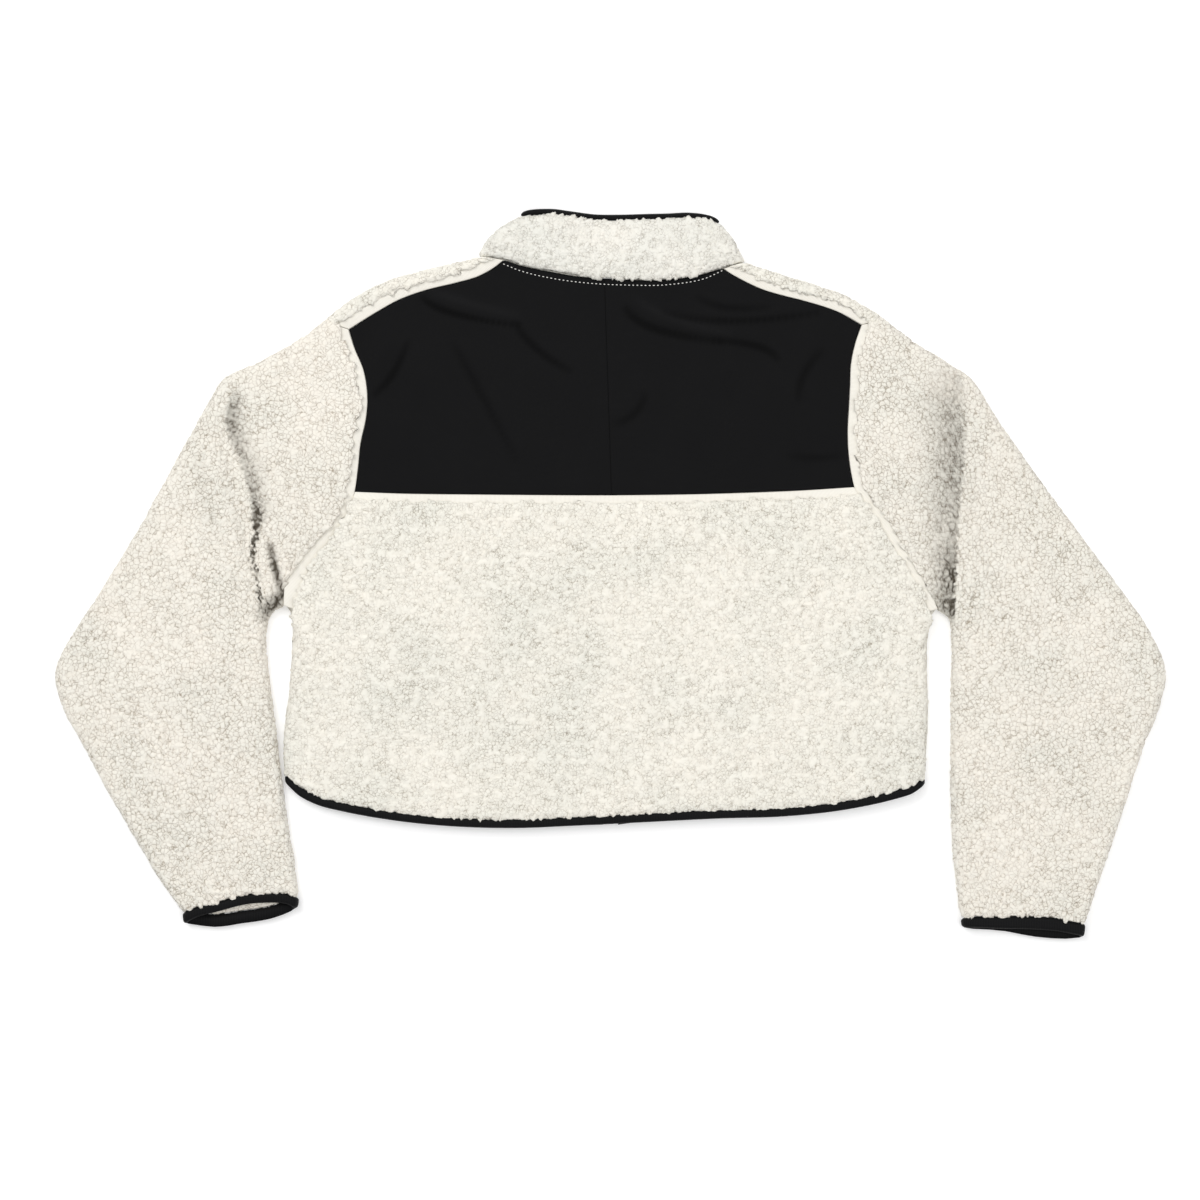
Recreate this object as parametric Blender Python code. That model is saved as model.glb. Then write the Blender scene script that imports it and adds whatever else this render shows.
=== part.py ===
"""Cropped sherpa fleece jacket, laid flat with its back up and its sleeves folded down.

All sizes and places are in millimetres and are turned to metres when a mesh is made.
+X is to the right as the laid jacket is seen, +Y towards the collar, +Z up. The origin is
on the surface that the jacket lies on, at the centre of its outline.

Every cut piece is a wall of cloth. A laid panel is a grid between four seam lines. A tube
(sleeve, collar, binding) is a flattened loop, carried from one section to the next.
"""

import bpy
import numpy as np

MM = 0.001

# Driving dimensions.
FLEECE = 6.4  # sherpa cloth with its pile
LAYER = 7.0  # half of the laid stack: one fleece layer and its share of the air between
STACK = 2 * LAYER
BACK_LOW = LAYER + 0.3  # underside of what lies on the fronts
FRONT_HIGH = LAYER - 0.4
WOVEN = 1.5  # yoke cloth
TAPE_WIDTH = 7.2
TAPE_THICK = 3.0  # tape with the seam allowance under it
BINDING_THICK = 5.0  # two layers of binding round the cloth's edge
BINDING_LOW = 0.4
BINDING_HIGH = STACK - 0.8
BINDING_ROUND = np.array([-0.5, 0.2, -0.5])  # height added at its edge, middle and edge
FRONT_HEM_RISE = 0.6
TAPE_BODY_RISE = -0.4  # added to a tape's height at its edge on the body
TAPE_OUTER_RISE = 0.6  # and at its other edge, where the pile is higher
SIDE_ROUND = (8.0, 0.9)  # how the pile rounds off at a side seam: width, share of its height
EDGE_ROUND = (5.0, 0.3)  # and at the panel's other edges
FOLD_INSIDE = 0.4  # least radius inside a fold
SHOULDER_REACH = 0.85  # most of the strip outside the shoulder tape that the turn may take
GAP = 0.4  # between neighbours at a seam
SEAM_SNAP = 1.5  # how near a seam's end a point still belongs to it
CUFF_GAP = 1.0  # more at the cuffs, where the two layers' edges lie apart
FRONT_NECK_DROP = 54.0  # front neckline below the back one
COLLAR_HEIGHT = 52.0
CENTRE_FRONT = 0.0

# Zip: half width of the tape and of its joined teeth, heights of both, and the two ends.
ZIP_HALF = 6.0
TEETH_HALF = 2.6
TEETH_TOP_HALF = 2.2
ZIP_TAPE_LOW, ZIP_TAPE_HIGH = 3.0, 4.4
TEETH_LOW, TEETH_HIGH = 1.6, 5.2
ZIP_ENDS = (-206.0, 234.0)
SLIDER_HALF = np.array([3.2, 4.6, 4.6, 2.4])  # half width at each place along the slider
SLIDER_ALONG = np.array([234.6, 238.0, 243.0, 246.5])
SLIDER_TOP, SLIDER_PLATE, SLIDER_BRIDGE = 5.4, 1.4, 0.5  # heights of its two faces and bridge

# Seam round the back armhole: the tape's edge on the body, and its edge on the sleeve.
# Columns: body x, body y, sleeve x, sleeve y. From the shoulder down to the underarm.
ARMHOLE_LEFT = (
    (-223, 208, -234, 211.5),
    (-218, 192, -226, 190),
    (-210, 172, -218, 170),
    (-207, 150, -215, 150),
    (-208, 134, -216, 133),
    (-213, 110, -221, 109),
    (-215, 90, -223, 89),
    (-218, 69, -226, 70),
    (-222, 55, -229, 57),
    (-230, 40, -236, 44),
    (-243, 22, -250, 27),
    (-255, 4, -265, 10),
    (-263, -12, -275, -7),
    (-269, -30, -277, -27),
)
ARMHOLE_RIGHT = (
    (214, 212, 223, 213.5),
    (209, 198, 217, 197),
    (205, 180, 213, 179),
    (204, 160, 212, 160),
    (203, 140, 211, 140),
    (202, 122, 210, 121),
    (203, 100, 211, 99),
    (205, 86, 213, 86),
    (208, 73, 216, 75),
    (215, 61, 222, 65),
    (226, 46, 233, 50),
    (238, 26, 245, 30),
    (250, 6, 257, 10),
    (262, -14, 269, -11),
    (270, -32, 277, -30),
)

# Shoulder, from its tip to the neck: yoke edge, outer edge of the tape, fold at the outline.
# Columns: yoke x, yoke y, tape x, tape y, fold x, fold y.
SHOULDER_LEFT = (
    (-223, 208, -234, 211.5, -243, 217),
    (-199, 223, -204, 229.5, -210, 240),
    (-181, 233, -184.5, 240, -188, 250),
    (-156, 242, -158.5, 249, -161, 258),
    (-132, 247.5, -134, 254.5, -137, 263),
    (-110, 252.5, -113, 259.5, -122, 264.6),
    (-98, 258, -105, 262, -117, 265),
    (-91.5, 263, -100, 264, -113, 265.2),
)
SHOULDER_RIGHT = (
    (214, 212, 223, 213.5, 230, 219.5),
    (194, 223, 197.5, 229, 201, 236.5),
    (163, 233, 165.5, 239.5, 169, 247.5),
    (147, 237, 149.5, 243.5, 153, 252.5),
    (130, 242, 133, 248.5, 137, 258),
    (110, 251, 114.5, 256.5, 123, 262),
    (102, 255, 109, 258.8, 119, 263.2),
    (96.5, 258.4, 105, 260.8, 115.5, 264.2),
)

# Seam between the yoke and the body, and the line of the back neck. Columns: x, y.
YOKE_LOWER = ((-218, 70), (-179, 68.5), (-94, 67.5), (0, 67), (76, 68), (161, 71), (208, 74))
CENTRE_BACK = ((1, 67), (-5, 251))
NECK_LINE = (
    (-113, 266), (-100, 265), (-91, 264), (-74, 260), (-55, 256), (-26, 252), (0, 250.5),
    (34, 250), (55, 251.5), (80, 255), (96, 259.4), (105, 262), (115.5, 265),
)

# Side of the body, from the hem up to the underarm. Columns: x, y.
SIDE_LEFT = ((-277, -170), (-278, -150), (-276.5, -125), (-272.5, -95), (-271, -70),
             (-270, -52), (-269.5, -36))
SIDE_RIGHT = ((267.5, -172), (268.5, -150), (270, -120), (269, -74), (269.5, -50), (271, -38))

# Lower edge of the hem binding, and how much of the binding shows above it.
# Columns: x, y, width of the binding.
HEM = (
    (-277, -178, 7.5),
    (-264, -189, 8.5),
    (-250, -196, 8.0),
    (-227, -202, 8.0),
    (-188, -209, 8.0),
    (-135, -214.5, 8.0),
    (-80, -216, 8.0),
    (-30, -214, 8.0),
    (30, -211, 8.0),
    (90, -208, 8.0),
    (149, -206, 8.0),
    (196, -201, 8.0),
    (236, -193, 8.0),
    (256, -187, 8.0),
    (267.5, -180, 7.5),
)

# Sleeve sections, from the shoulder to the cuff: the outline, the inner edge, how much of
# the armhole's curve and of the cuff's curve the section takes, and how far it is puffed.
# Columns: outer x, outer y, inner x, inner y, armhole share, cuff share, puff.
SLEEVE_LEFT = (
    (-261, 202, -279, -28.5, 0.80, 0.0, 0.3),
    (-298, 181, -281.5, -29.5, 0.52, 0.0, 0.8),
    (-331, 164, -284, -30.8, 0.30, 0.0, 1.2),
    (-343, 144, -286.5, -32.5, 0.18, 0.0, 1.4),
    (-367, 101, -289, -36, 0.08, 0.0, 1.6),
    (-400, 41, -291.5, -43, 0.0, 0.0, 1.8),
    (-439, -23, -293, -55, 0.0, 0.0, 1.8),
    (-466, -66, -292, -70, 0.0, 0.0, 1.8),
    (-472.3, -85, -290, -86, 0.0, 0.0, 1.8),
    (-468, -108, -287.5, -108, 0.0, 0.0, 1.6),
    (-449, -145, -283.5, -138, 0.0, 0.0, 1.4),
    (-427, -186, -279.8, -172, 0.0, 0.1, 1.2),
    (-403, -227, -275, -206, 0.0, 0.3, 0.8),
    (-380, -265, -269, -243, 0.0, 0.7, 0.3),
)
SLEEVE_RIGHT = (
    (252, 202, 279, -31.5, 0.80, 0.0, 0.3),
    (285, 181, 281, -32.5, 0.52, 0.0, 0.8),
    (308, 165, 283, -34, 0.32, 0.0, 1.2),
    (323, 141, 285, -35.5, 0.18, 0.0, 1.4),
    (351, 100, 287.5, -39, 0.08, 0.0, 1.6),
    (388, 49, 289, -46, 0.0, 0.0, 1.8),
    (428, -5, 289.5, -56, 0.0, 0.0, 1.8),
    (460, -51, 289.8, -70, 0.0, 0.0, 1.8),
    (472.3, -83, 289.5, -88, 0.0, 0.0, 1.8),
    (468, -110, 289.2, -110, 0.0, 0.0, 1.6),
    (454, -146, 289, -140, 0.0, 0.0, 1.4),
    (441, -186, 289, -176, 0.0, 0.1, 1.2),
    (427, -228, 289.8, -214, 0.0, 0.3, 0.8),
    (413, -268, 292.5, -254, 0.0, 0.7, 0.3),
)

# Cuff seam on the upper layer, the binding's width there, and how far the lower layer
# sticks out past the upper one. Columns: x, y, width, lower layer.
CUFF_LEFT = (
    (-364, -287, 9.5, 0.0),
    (-351, -282, 8.5, 5.5),
    (-334, -278, 8.0, 11.0),
    (-311, -271.5, 8.5, 14.0),
    (-293, -270, 8.5, 13.0),
    (-277, -270, 9.0, 8.0),
    (-265, -274, 9.5, 0.0),
)
CUFF_RIGHT = (
    (404, -296, 11.0, 1.5),
    (390, -294.5, 10.0, 4.5),
    (379, -291.5, 11.0, 7.4),
    (358, -290, 11.0, 6.8),
    (332, -290, 10.5, 2.0),
    (306, -290.5, 9.0, 0.5),
    (298, -292, 8.0, 0.0),
)
CUFF_BINDING = 10.5  # width of the lower layer's binding
CUFF_TUCK = 0.012  # how far the binding draws in at its ends, as a share of its length
CUFF_ENDS = (0, 0.12, 0.88, 1)  # stations between which an end's shape fades out

# Collar: the folds at its two ends, and the upper edge of its fleece. Columns: x, y.
COLLAR_FOLD_LEFT = ((-113, 266.4), (-104.5, 283), (-95, 294), (-78, 303.8))
COLLAR_FOLD_RIGHT = ((115.5, 265.4), (109, 275), (105, 284.5), (94, 297.5))
COLLAR_EDGE = ((-78, 303.8), (-56, 305), (-40, 304.4), (-9, 300.8), (34, 301.5), (68, 301.8),
               (85, 299.5), (94, 297.5))
COLLAR_BINDING = 5.5
COLLAR_LEAN = (0.8, 0.0, 0.0, -0.6)  # how far the binding leans in at the collar's folds
COLLAR_CROWN = np.array([-0.8, 1.2, 1.6, 1.6, 1.0, -0.2])  # how plump each row is
COLLAR_SAG_START, COLLAR_SAG_RUN = 6.0, 26.0  # where the back layer sinks past the front one
COLLAR_SAG_LEFT = 0.9  # of a layer's height that stays
COLLAR_ENDS = (0, 0.12, 0.88, 1)  # stations between which an end's shape fades out

# The largest folds, each a soft ridge (height above 0) or trough along a curve.
# Columns: start x, y, middle x, y, end x, y, half width, height.
SLEEVE_FOLDS = (
    (-331, 166, -318, 70, -290, -30, 9, -2.6),
    (-344, 132, -334, 60, -303, -38, 13, 2.4),
    (-286, 30, -281, 4, -277, -22, 4, -1.2),
    (-300, 150, -288, 70, -270, 20, 16, 1.0),
    (278, 176, 290, 96, 287, -36, 10, -2.2),
    (312, 140, 304, 60, 303, -40, 13, 1.8),
    (-300, -60, -360, -95, -430, -100, 16, 1.2),
    (300, -60, 360, -92, 430, -96, 16, 1.2),
)
YOKE_FOLDS = (
    (-166, 237, -132, 232, -81, 199, 6, 1.4),
    (-183, 199, -195, 190, -202, 168, 7, 1.0),
    (12, 233, 60, 208, 128, 200, 7, 1.2),
    (76, 220, 120, 215, 165, 225, 6, 1.2),
    (-60, 190, -52, 140, -56, 96, 7, 0.8),
    (96, 176, 104, 130, 98, 92, 7, 0.8),
)
BODY_FOLDS = (
    (-250, -30, -150, -55, -40, -40, 22, 1.0),
    (40, -60, 150, -90, 250, -60, 24, 1.0),
    (-200, -150, -60, -135, 60, -160, 22, -0.8),
)

# How finely the pieces are divided.
BODY_ROWS = 7
BODY_ARMHOLE_ROWS = 6  # rows of the armhole tables that lie below the yoke's tape
COLLAR_ROWS = 6
TURN_STEPS = 3
FOLD_STEPS = 25
PILE_EDGE = (1.6, 4.5, 9.0)  # extra columns where the pile rounds off at a side

# Colour, roughness and metallic value of each cloth or metal.
FINISHES = {
    "sherpa fleece": ((0.80, 0.76, 0.68), 0.95, 0.0),
    "black woven cloth": ((0.010, 0.010, 0.011), 0.75, 0.0),
    "cream seam tape": ((0.86, 0.82, 0.73), 0.85, 0.0),
    "black stretch binding": ((0.008, 0.008, 0.009), 0.80, 0.0),
    "black zip tape": ((0.010, 0.010, 0.011), 0.70, 0.0),
    "black painted metal": ((0.015, 0.015, 0.016), 0.40, 0.8),
}


def clear_scene():
    for thing in list(bpy.data.objects):
        bpy.data.objects.remove(thing, do_unlink=True)


def finish(name):
    material = bpy.data.materials.get(name)
    if material is None:
        colour, roughness, metallic = FINISHES[name]
        material = bpy.data.materials.new(name)
        material.use_nodes = True
        shader = material.node_tree.nodes["Principled BSDF"]
        shader.inputs["Base Color"].default_value = (*colour, 1.0)
        shader.inputs["Roughness"].default_value = roughness
        shader.inputs["Metallic"].default_value = metallic
    return material


# --- lines in plan ---------------------------------------------------------------------


def points(table, *names):
    """The chosen columns of a table, one point a row."""
    return np.array(table, float)[:, list(names)]


def smooth(line, steps=10):
    """A dense line through the points, curved as a Catmull-Rom spline."""
    line = np.array(line, float)
    padded = np.vstack([2 * line[0] - line[1], line, 2 * line[-1] - line[-2]])
    t = np.linspace(0, 1, steps, endpoint=False)[:, None]
    spans = []
    for before, start, end, after in zip(padded, padded[1:], padded[2:], padded[3:]):
        spans.append(0.5 * (
            2 * start
            + (end - before) * t
            + (2 * before - 5 * start + 4 * end - after) * t**2
            + (3 * start - before - 3 * end + after) * t**3
        ))
    return np.vstack([*spans, line[-1:]])


def share_along(line):
    """How far along the line each of its points lies, from 0 to 1."""
    length = np.concatenate([[0], np.cumsum(np.linalg.norm(np.diff(line[:, :2], axis=0), axis=1))])
    return length / length[-1]


def at(line, fractions):
    """Points of a line at fractions of its length."""
    along = share_along(line)
    return np.column_stack([np.interp(fractions, along, column) for column in line.T])


def at_x(line, x):
    """The height y of a line at x. The line may run from left to right or back."""
    line = line[np.argsort(line[:, 0])]
    return np.interp(x, line[:, 0], line[:, 1])


def moved(line, distance):
    """The line moved to its left, seen along its direction, by a distance."""
    steps = np.diff(line[:, :2], axis=0)
    steps /= np.linalg.norm(steps, axis=1)[:, None]
    along = np.vstack([steps[:1], steps[1:] + steps[:-1], steps[-1:]])
    along /= np.linalg.norm(along, axis=1)[:, None]
    return line[:, :2] + distance * np.column_stack([-along[:, 1], along[:, 0]])


def between(bottom, top, left, right):
    """A grid that blends four edge lines, as a Coons patch. bottom and top run from left to
    right with equal counts, and left and right run upwards with equal counts."""
    u = ((share_along(bottom) + share_along(top)) / 2)[None, :, None]
    v = ((share_along(left) + share_along(right)) / 2)[:, None, None]
    low, high, near, far = bottom[None], top[None], left[:, None], right[:, None]
    corners = (
        (1 - u) * (1 - v) * low[:, :1] + u * (1 - v) * low[:, -1:]
        + (1 - u) * v * high[:, :1] + u * v * high[:, -1:]
    )
    return (1 - v) * low + v * high + (1 - u) * near + u * far - corners


def with_pile_edge(line, ends=(True, True)):
    """The line with extra points near its ends, on the same straight stretches."""
    length = np.linalg.norm(np.diff(line, axis=0), axis=1)
    start = [line[0] + (line[1] - line[0]) * reach / length[0] for reach in PILE_EDGE]
    end = [line[-1] + (line[-2] - line[-1]) * reach / length[-1] for reach in PILE_EDGE[::-1]]
    return np.vstack([
        line[:1], *([start] if ends[0] else []), line[1:-1], *([end] if ends[1] else []), line[-1:],
    ])


# --- heights ---------------------------------------------------------------------------


def folds(plan, table):
    """Height that the folds of a table add at each point of a plan grid."""
    added = np.zeros(plan.shape[:-1])
    t = np.linspace(0, 1, FOLD_STEPS)[:, None]
    for x0, y0, x1, y1, x2, y2, half_width, height in table:
        start, middle, end = np.array([[x0, y0], [x1, y1], [x2, y2]], float)
        line = (1 - t) ** 2 * start + 2 * t * (1 - t) * middle + t**2 * end
        apart = np.linalg.norm(plan[..., None, :] - line, axis=-1)
        nearest = apart.argmin(axis=-1)
        taper = np.sin(np.pi * (0.08 + 0.84 * t[nearest, 0])) ** 0.6
        added += height * taper * np.exp(-((apart.min(axis=-1) / half_width) ** 2))
    return added


def eased(value):
    """0 below 0, 1 above 1, and a smooth step between."""
    value = np.clip(value, 0, 1)
    return value * value * (3 - 2 * value)


def raised(plan, z):
    """A plan grid with its heights."""
    return np.dstack([plan, np.broadcast_to(z, plan.shape[:2])])


# --- solids ----------------------------------------------------------------------------


def wall(name, outer, inner, cloth, round_shut=False):
    """A closed solid between two matching grids of points, with rims along the open edges.
    A grid that is round_shut joins its last column to its first."""
    rows, cols = outer.shape[:2]
    count = rows * cols
    index = np.arange(count).reshape(rows, cols)
    if round_shut:
        index = np.hstack([index, index[:, :1]])
    quads = np.stack([index[:-1, :-1], index[:-1, 1:], index[1:, 1:], index[1:, :-1]], -1)
    quads = quads.reshape(-1, 4)
    edges = [index[0], index[-1, ::-1]]
    if not round_shut:
        edges += [index[::-1, 0], index[:, -1]]
    rims = [
        np.stack([edge[1:], edge[:-1], edge[:-1] + count, edge[1:] + count], -1)
        for edge in edges
    ]
    faces = np.vstack([quads, quads[:, ::-1] + count, *rims])
    places = np.vstack([outer.reshape(-1, 3), inner.reshape(-1, 3)]) * MM
    corners = places[faces]
    first = np.cross(corners[:, 1] - corners[:, 0], corners[:, 2] - corners[:, 0])
    second = np.cross(corners[:, 2] - corners[:, 0], corners[:, 3] - corners[:, 0])
    if ((first + second) * corners[:, 0]).sum() < 0:
        faces = faces[:, ::-1]
    mesh = bpy.data.meshes.new(name)
    mesh.from_pydata(places.tolist(), [], faces.tolist())
    mesh.materials.append(finish(cloth))
    mesh.shade_smooth()
    mesh.set_sharp_from_angle(angle=np.radians(40))
    thing = bpy.data.objects.new(name, mesh)
    bpy.context.collection.objects.link(thing)
    return thing


def flat_loop(upper, lower, upper_z, lower_z, thick, split=None):
    """Outer and inner points of flattened loops. Each row of upper and lower is a line in
    plan across the loop, whose first and last points are on its folds. A split leaves the
    lower layer open at the centre front by twice that distance."""
    middle = upper.shape[1] // 2
    upper_z = np.broadcast_to(upper_z, upper.shape[:2])
    angles = np.linspace(-np.pi / 2, np.pi / 2, TURN_STEPS + 2)[1:-1]

    def turn(fold, centre, outer):
        """Points round one fold, from the lower layer to the upper one."""
        reach = np.linalg.norm(upper[:, fold] - upper[:, centre], axis=1)[:, None, None]
        share = 1.0 if outer else np.maximum(reach - thick, FOLD_INSIDE) / reach
        lift = (1 + np.sin(angles))[None, :, None] / 2
        base = (1 - lift) * lower[:, centre, None] + lift * upper[:, centre, None]
        tip = (1 - lift) * lower[:, fold, None] + lift * upper[:, fold, None]
        plan = base + share * np.cos(angles)[None, :, None] * (tip - base)
        low = lower_z + (0 if outer else thick)
        high = upper_z[:, centre, None] - (0 if outer else thick)
        return np.concatenate([plan, (low + lift[..., 0] * (high - low))[..., None]], -1)

    def loop(outer):
        low = lower_z + (0 if outer else thick)
        over = np.dstack([upper, upper_z - (0 if outer else thick)])[:, 1:-1]
        under = np.dstack([lower, np.full(lower.shape[:2], low)])
        first, last = under[:, middle:0:-1], under[:, -2:middle:-1]
        if split is not None:
            last = under[:, -2 : middle - 1 : -1].copy()
            first = first.copy()
            first[:, 0, 0] = CENTRE_FRONT - split
            last[:, -1, 0] = CENTRE_FRONT + split
        left = turn(0, 1, outer)
        right = turn(-1, -2, outer)[:, ::-1]
        return np.concatenate([first, left, over, right, last], axis=1)

    return loop(True), loop(False)


# --- the pieces ------------------------------------------------------------------------


def of_side(side, left, right):
    """The left or the right table: the laid jacket's two halves differ a little."""
    return left if side == "left" else right


def near_edge(plan, edge, reach, share):
    """1 away from an edge line and less within reach of it, as the pile rounds off."""
    apart = np.linalg.norm(plan[..., None, :] - edge, axis=-1).min(axis=-1)
    inside = np.clip(apart / reach, 0, 1)
    return 1 - share * (1 - np.sqrt(1 - (1 - inside) ** 2))


def neck_height(x):
    return at_x(points(NECK_LINE, 0, 1), x)


def front_drop(x):
    """How far the front neckline lies below the back one, 0 at both shoulders."""
    left, right = NECK_LINE[0][0], NECK_LINE[-1][0]
    return FRONT_NECK_DROP * np.sin(np.pi * np.clip((x - left) / (right - left), 0, 1)) ** 2


def hem_seam():
    """Where the body's cloth ends, above the binding."""
    return points(HEM, 0, 1) + np.column_stack([[0.0] * len(HEM), points(HEM, 2)[:, 0] + GAP])


def back_body():
    """Sherpa panel from the tape under the yoke to the hem."""
    tape_edge = moved(points(YOKE_LOWER, 0, 1), -(TAPE_WIDTH + 2.5 * GAP))
    sides = []
    for side, turn in (("left", 1), ("right", -1)):
        seam = moved(points(of_side(side, ARMHOLE_LEFT, ARMHOLE_RIGHT), 0, 1), turn * GAP)
        above, *below = seam[-BODY_ARMHOLE_ROWS - 1 :]
        share = (at_x(tape_edge, below[0][0]) - below[0][1]) / (above[1] - below[0][1])
        corner = below[0] + share * (above - below[0])
        side_line = at(smooth(of_side(side, SIDE_LEFT, SIDE_RIGHT)), np.linspace(0, 1, BODY_ROWS))
        sides.append(np.vstack([side_line, below[-2::-1], corner]))
    left, right = sides
    hem = hem_seam()
    hem = with_pile_edge(np.vstack([left[:1], hem[1:-1], right[:1]]))
    top_x = np.interp(share_along(hem), [0, 1], [left[-1, 0], right[-1, 0]])
    top = np.column_stack([top_x, at_x(tape_edge, top_x)])
    top[0], top[-1] = left[-1], right[-1]
    plan = between(hem, top, left, right)
    full = STACK - BACK_LOW + folds(plan, BODY_FOLDS)
    for line in (SIDE_LEFT, SIDE_RIGHT):
        full = full * near_edge(plan, smooth(line), *SIDE_ROUND)
    for edge in (left[BODY_ROWS + 1 :], right[BODY_ROWS + 1 :], top, hem):
        full = full * near_edge(plan, smooth(edge), *EDGE_ROUND)
    wall("back_body", raised(plan, BACK_LOW + full), raised(plan, BACK_LOW), "sherpa fleece")


def yoke(side):
    """Black woven panel between the centre back seam, the neck, the shoulder and the armhole."""
    turn = 1 if side == "left" else -1
    lower = points(YOKE_LOWER, 0, 1)
    armhole = points(of_side(side, ARMHOLE_LEFT, ARMHOLE_RIGHT), 0, 1)
    outer_side = moved(armhole, turn * 1.5 * GAP)
    outer_side = outer_side[outer_side[:, 1] > at_x(lower, outer_side[:, 0]) - SEAM_SNAP][::-1]
    outer_side[0, 1] = at_x(lower, outer_side[0, 0])
    shoulder = points(of_side(side, SHOULDER_LEFT, SHOULDER_RIGHT), 0, 1)
    outer_side[-1] = moved(np.vstack([shoulder[1::-1], armhole[1]]), turn * 2 * GAP)[1]
    shoulder = moved(shoulder, -turn * GAP)
    centre = points(CENTRE_BACK, 0, 1) - [turn * GAP / 2, 0]
    centre[-1, 1] = neck_height(centre[-1, 0]) - 2 * GAP
    centre = at(centre, share_along(outer_side))
    neck = points(NECK_LINE, 0, 1) - [0, 2 * GAP]
    neck = neck[(neck[:, 0] * turn > shoulder[-1, 0] * turn + 4) & (neck[:, 0] * turn < -8)]
    neck = neck[np.argsort(neck[:, 0] * turn)]
    top = np.vstack([outer_side[-1:], shoulder[1:], neck, centre[-1:]])
    across = np.interp(share_along(top), [0, 1], [outer_side[0, 0], centre[0, 0]])
    bottom = np.column_stack([across, at_x(lower, across)])
    plan = between(bottom, top, outer_side, centre)
    z = BACK_LOW + folds(plan, YOKE_FOLDS)
    wall(f"yoke_{side}", raised(plan, z + WOVEN), raised(plan, z), "black woven cloth")


def tape(name, body_edge, outer_edge):
    """A narrow pile-free band between two lines of equal count, crowned along its middle."""
    share = np.array([0, 0.2, 0.8, 1])[None, :, None]
    plan = (1 - share) * body_edge[:, None] + share * outer_edge[:, None]
    crown = np.array([-0.5, 0.2, 0.2, -0.5])
    across = share[0, :, 0]
    z = BACK_LOW + TAPE_THICK + crown + (1 - across) * TAPE_BODY_RISE + across * TAPE_OUTER_RISE
    wall(name, raised(plan, z), raised(plan, BACK_LOW), "cream seam tape")


def seam_tapes():
    for side in ("left", "right"):
        armhole = of_side(side, ARMHOLE_LEFT, ARMHOLE_RIGHT)
        tape(f"armhole_tape_{side}", points(armhole, 0, 1), points(armhole, 2, 3))
        shoulder = of_side(side, SHOULDER_LEFT, SHOULDER_RIGHT)
        inner, outer = points(shoulder, 0, 1), points(shoulder, 2, 3)
        for edge in (inner, outer):
            along = edge[1] - edge[0]
            edge[0] += along * 1.3 * GAP / np.linalg.norm(along)
        tape(f"shoulder_tape_{side}", inner, outer)
    under = moved(points(YOKE_LOWER, 0, 1), -GAP)
    left = moved(points(ARMHOLE_LEFT, 0, 1), 1.5 * GAP)
    right = moved(points(ARMHOLE_RIGHT, 0, 1), -1.5 * GAP)
    edges = []
    for drop in (0, TAPE_WIDTH):
        line = moved(under, -drop)
        line[0, 0] = np.interp(-line[0, 1], -left[:, 1], left[:, 0])
        line[-1, 0] = np.interp(-line[-1, 1], -right[:, 1], right[:, 0])
        edges.append(line)
    tape("yoke_tape", *edges)


def front(side):
    """Sherpa front on the underside. It turns up round the shoulder and ends at the tape on
    the back, and its neckline is lower than the back one."""
    turn = 1 if side == "left" else -1
    shoulder = of_side(side, SHOULDER_LEFT, SHOULDER_RIGHT)
    fold, tape_edge = points(shoulder, 4, 5), points(shoulder, 2, 3)
    armhole = points(of_side(side, ARMHOLE_LEFT, ARMHOLE_RIGHT), 2, 3)
    armhole = moved(np.vstack([fold[:1], armhole]), turn * GAP)
    fold[0], tape_edge[0] = armhole[:2]
    fold = with_pile_edge(fold, (True, False))
    tape_edge = with_pile_edge(tape_edge, (True, False))
    inward = tape_edge - fold
    width = np.linalg.norm(inward, axis=1)[:, None]
    inward /= width
    reach = np.minimum(LAYER, SHOULDER_REACH * (width - GAP))
    centres = fold + inward * reach
    side_line = smooth(of_side(side, SIDE_LEFT, SIDE_RIGHT))
    outer_line = np.vstack([
        at(side_line, np.linspace(0, 1, BODY_ROWS)), armhole[:0:-1], centres[:1],
    ])
    edge_x = CENTRE_FRONT - turn * (ZIP_HALF + GAP)
    hem = hem_seam() + [0, GAP]
    hem = hem[np.argsort(hem[:, 0] * turn)][: len(shoulder) - 1]
    hem = np.vstack([outer_line[:1], hem[1:], [[edge_x, at_x(hem_seam(), edge_x) + GAP]]])
    hem = with_pile_edge(hem, (True, False))
    stations = points(NECK_LINE, 0, 1)[:, 0]
    stations = stations[(stations * turn < -10) & (stations * turn > centres[-1, 0] * turn + 3)]
    stations = np.append(edge_x, sorted(stations, key=abs))
    neck = np.column_stack([
        stations, neck_height(stations) - front_drop(stations) - 3 * GAP,
    ])
    straight = np.linspace(0, 1, len(outer_line) - len(neck))[:-1]
    straight = hem[-1] + straight[:, None] * (neck[0] - hem[-1])
    centre_line = np.vstack([straight, neck, centres[-1:]])
    plan = between(hem, centres, outer_line, centre_line)
    low = FRONT_HIGH * (1 - near_edge(plan, side_line, *SIDE_ROUND))
    outer = [raised(plan, low)]
    inner = [raised(plan, FRONT_HIGH - 0.2)]
    for angle in np.linspace(-np.pi / 2, np.pi / 2, TURN_STEPS + 2)[1:]:
        for grid, radius, half in (
            (outer, reach, LAYER),
            (inner, np.maximum(reach - FLEECE, FOLD_INSIDE), LAYER - FLEECE),
        ):
            row = centres - inward * radius * np.cos(angle)
            grid.append(raised(row[None], LAYER + half * np.sin(angle)))
    end = tape_edge - inward * 1.5 * GAP
    for share, drop in ((0.6, 0.4), (1.0, 1.8)):
        row = centres + share * (end - centres)
        outer.append(raised(row[None], STACK - drop))
        inner.append(raised(row[None], STACK - FLEECE))
    wall(f"front_{side}", np.vstack(outer), np.vstack(inner), "sherpa fleece")


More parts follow.
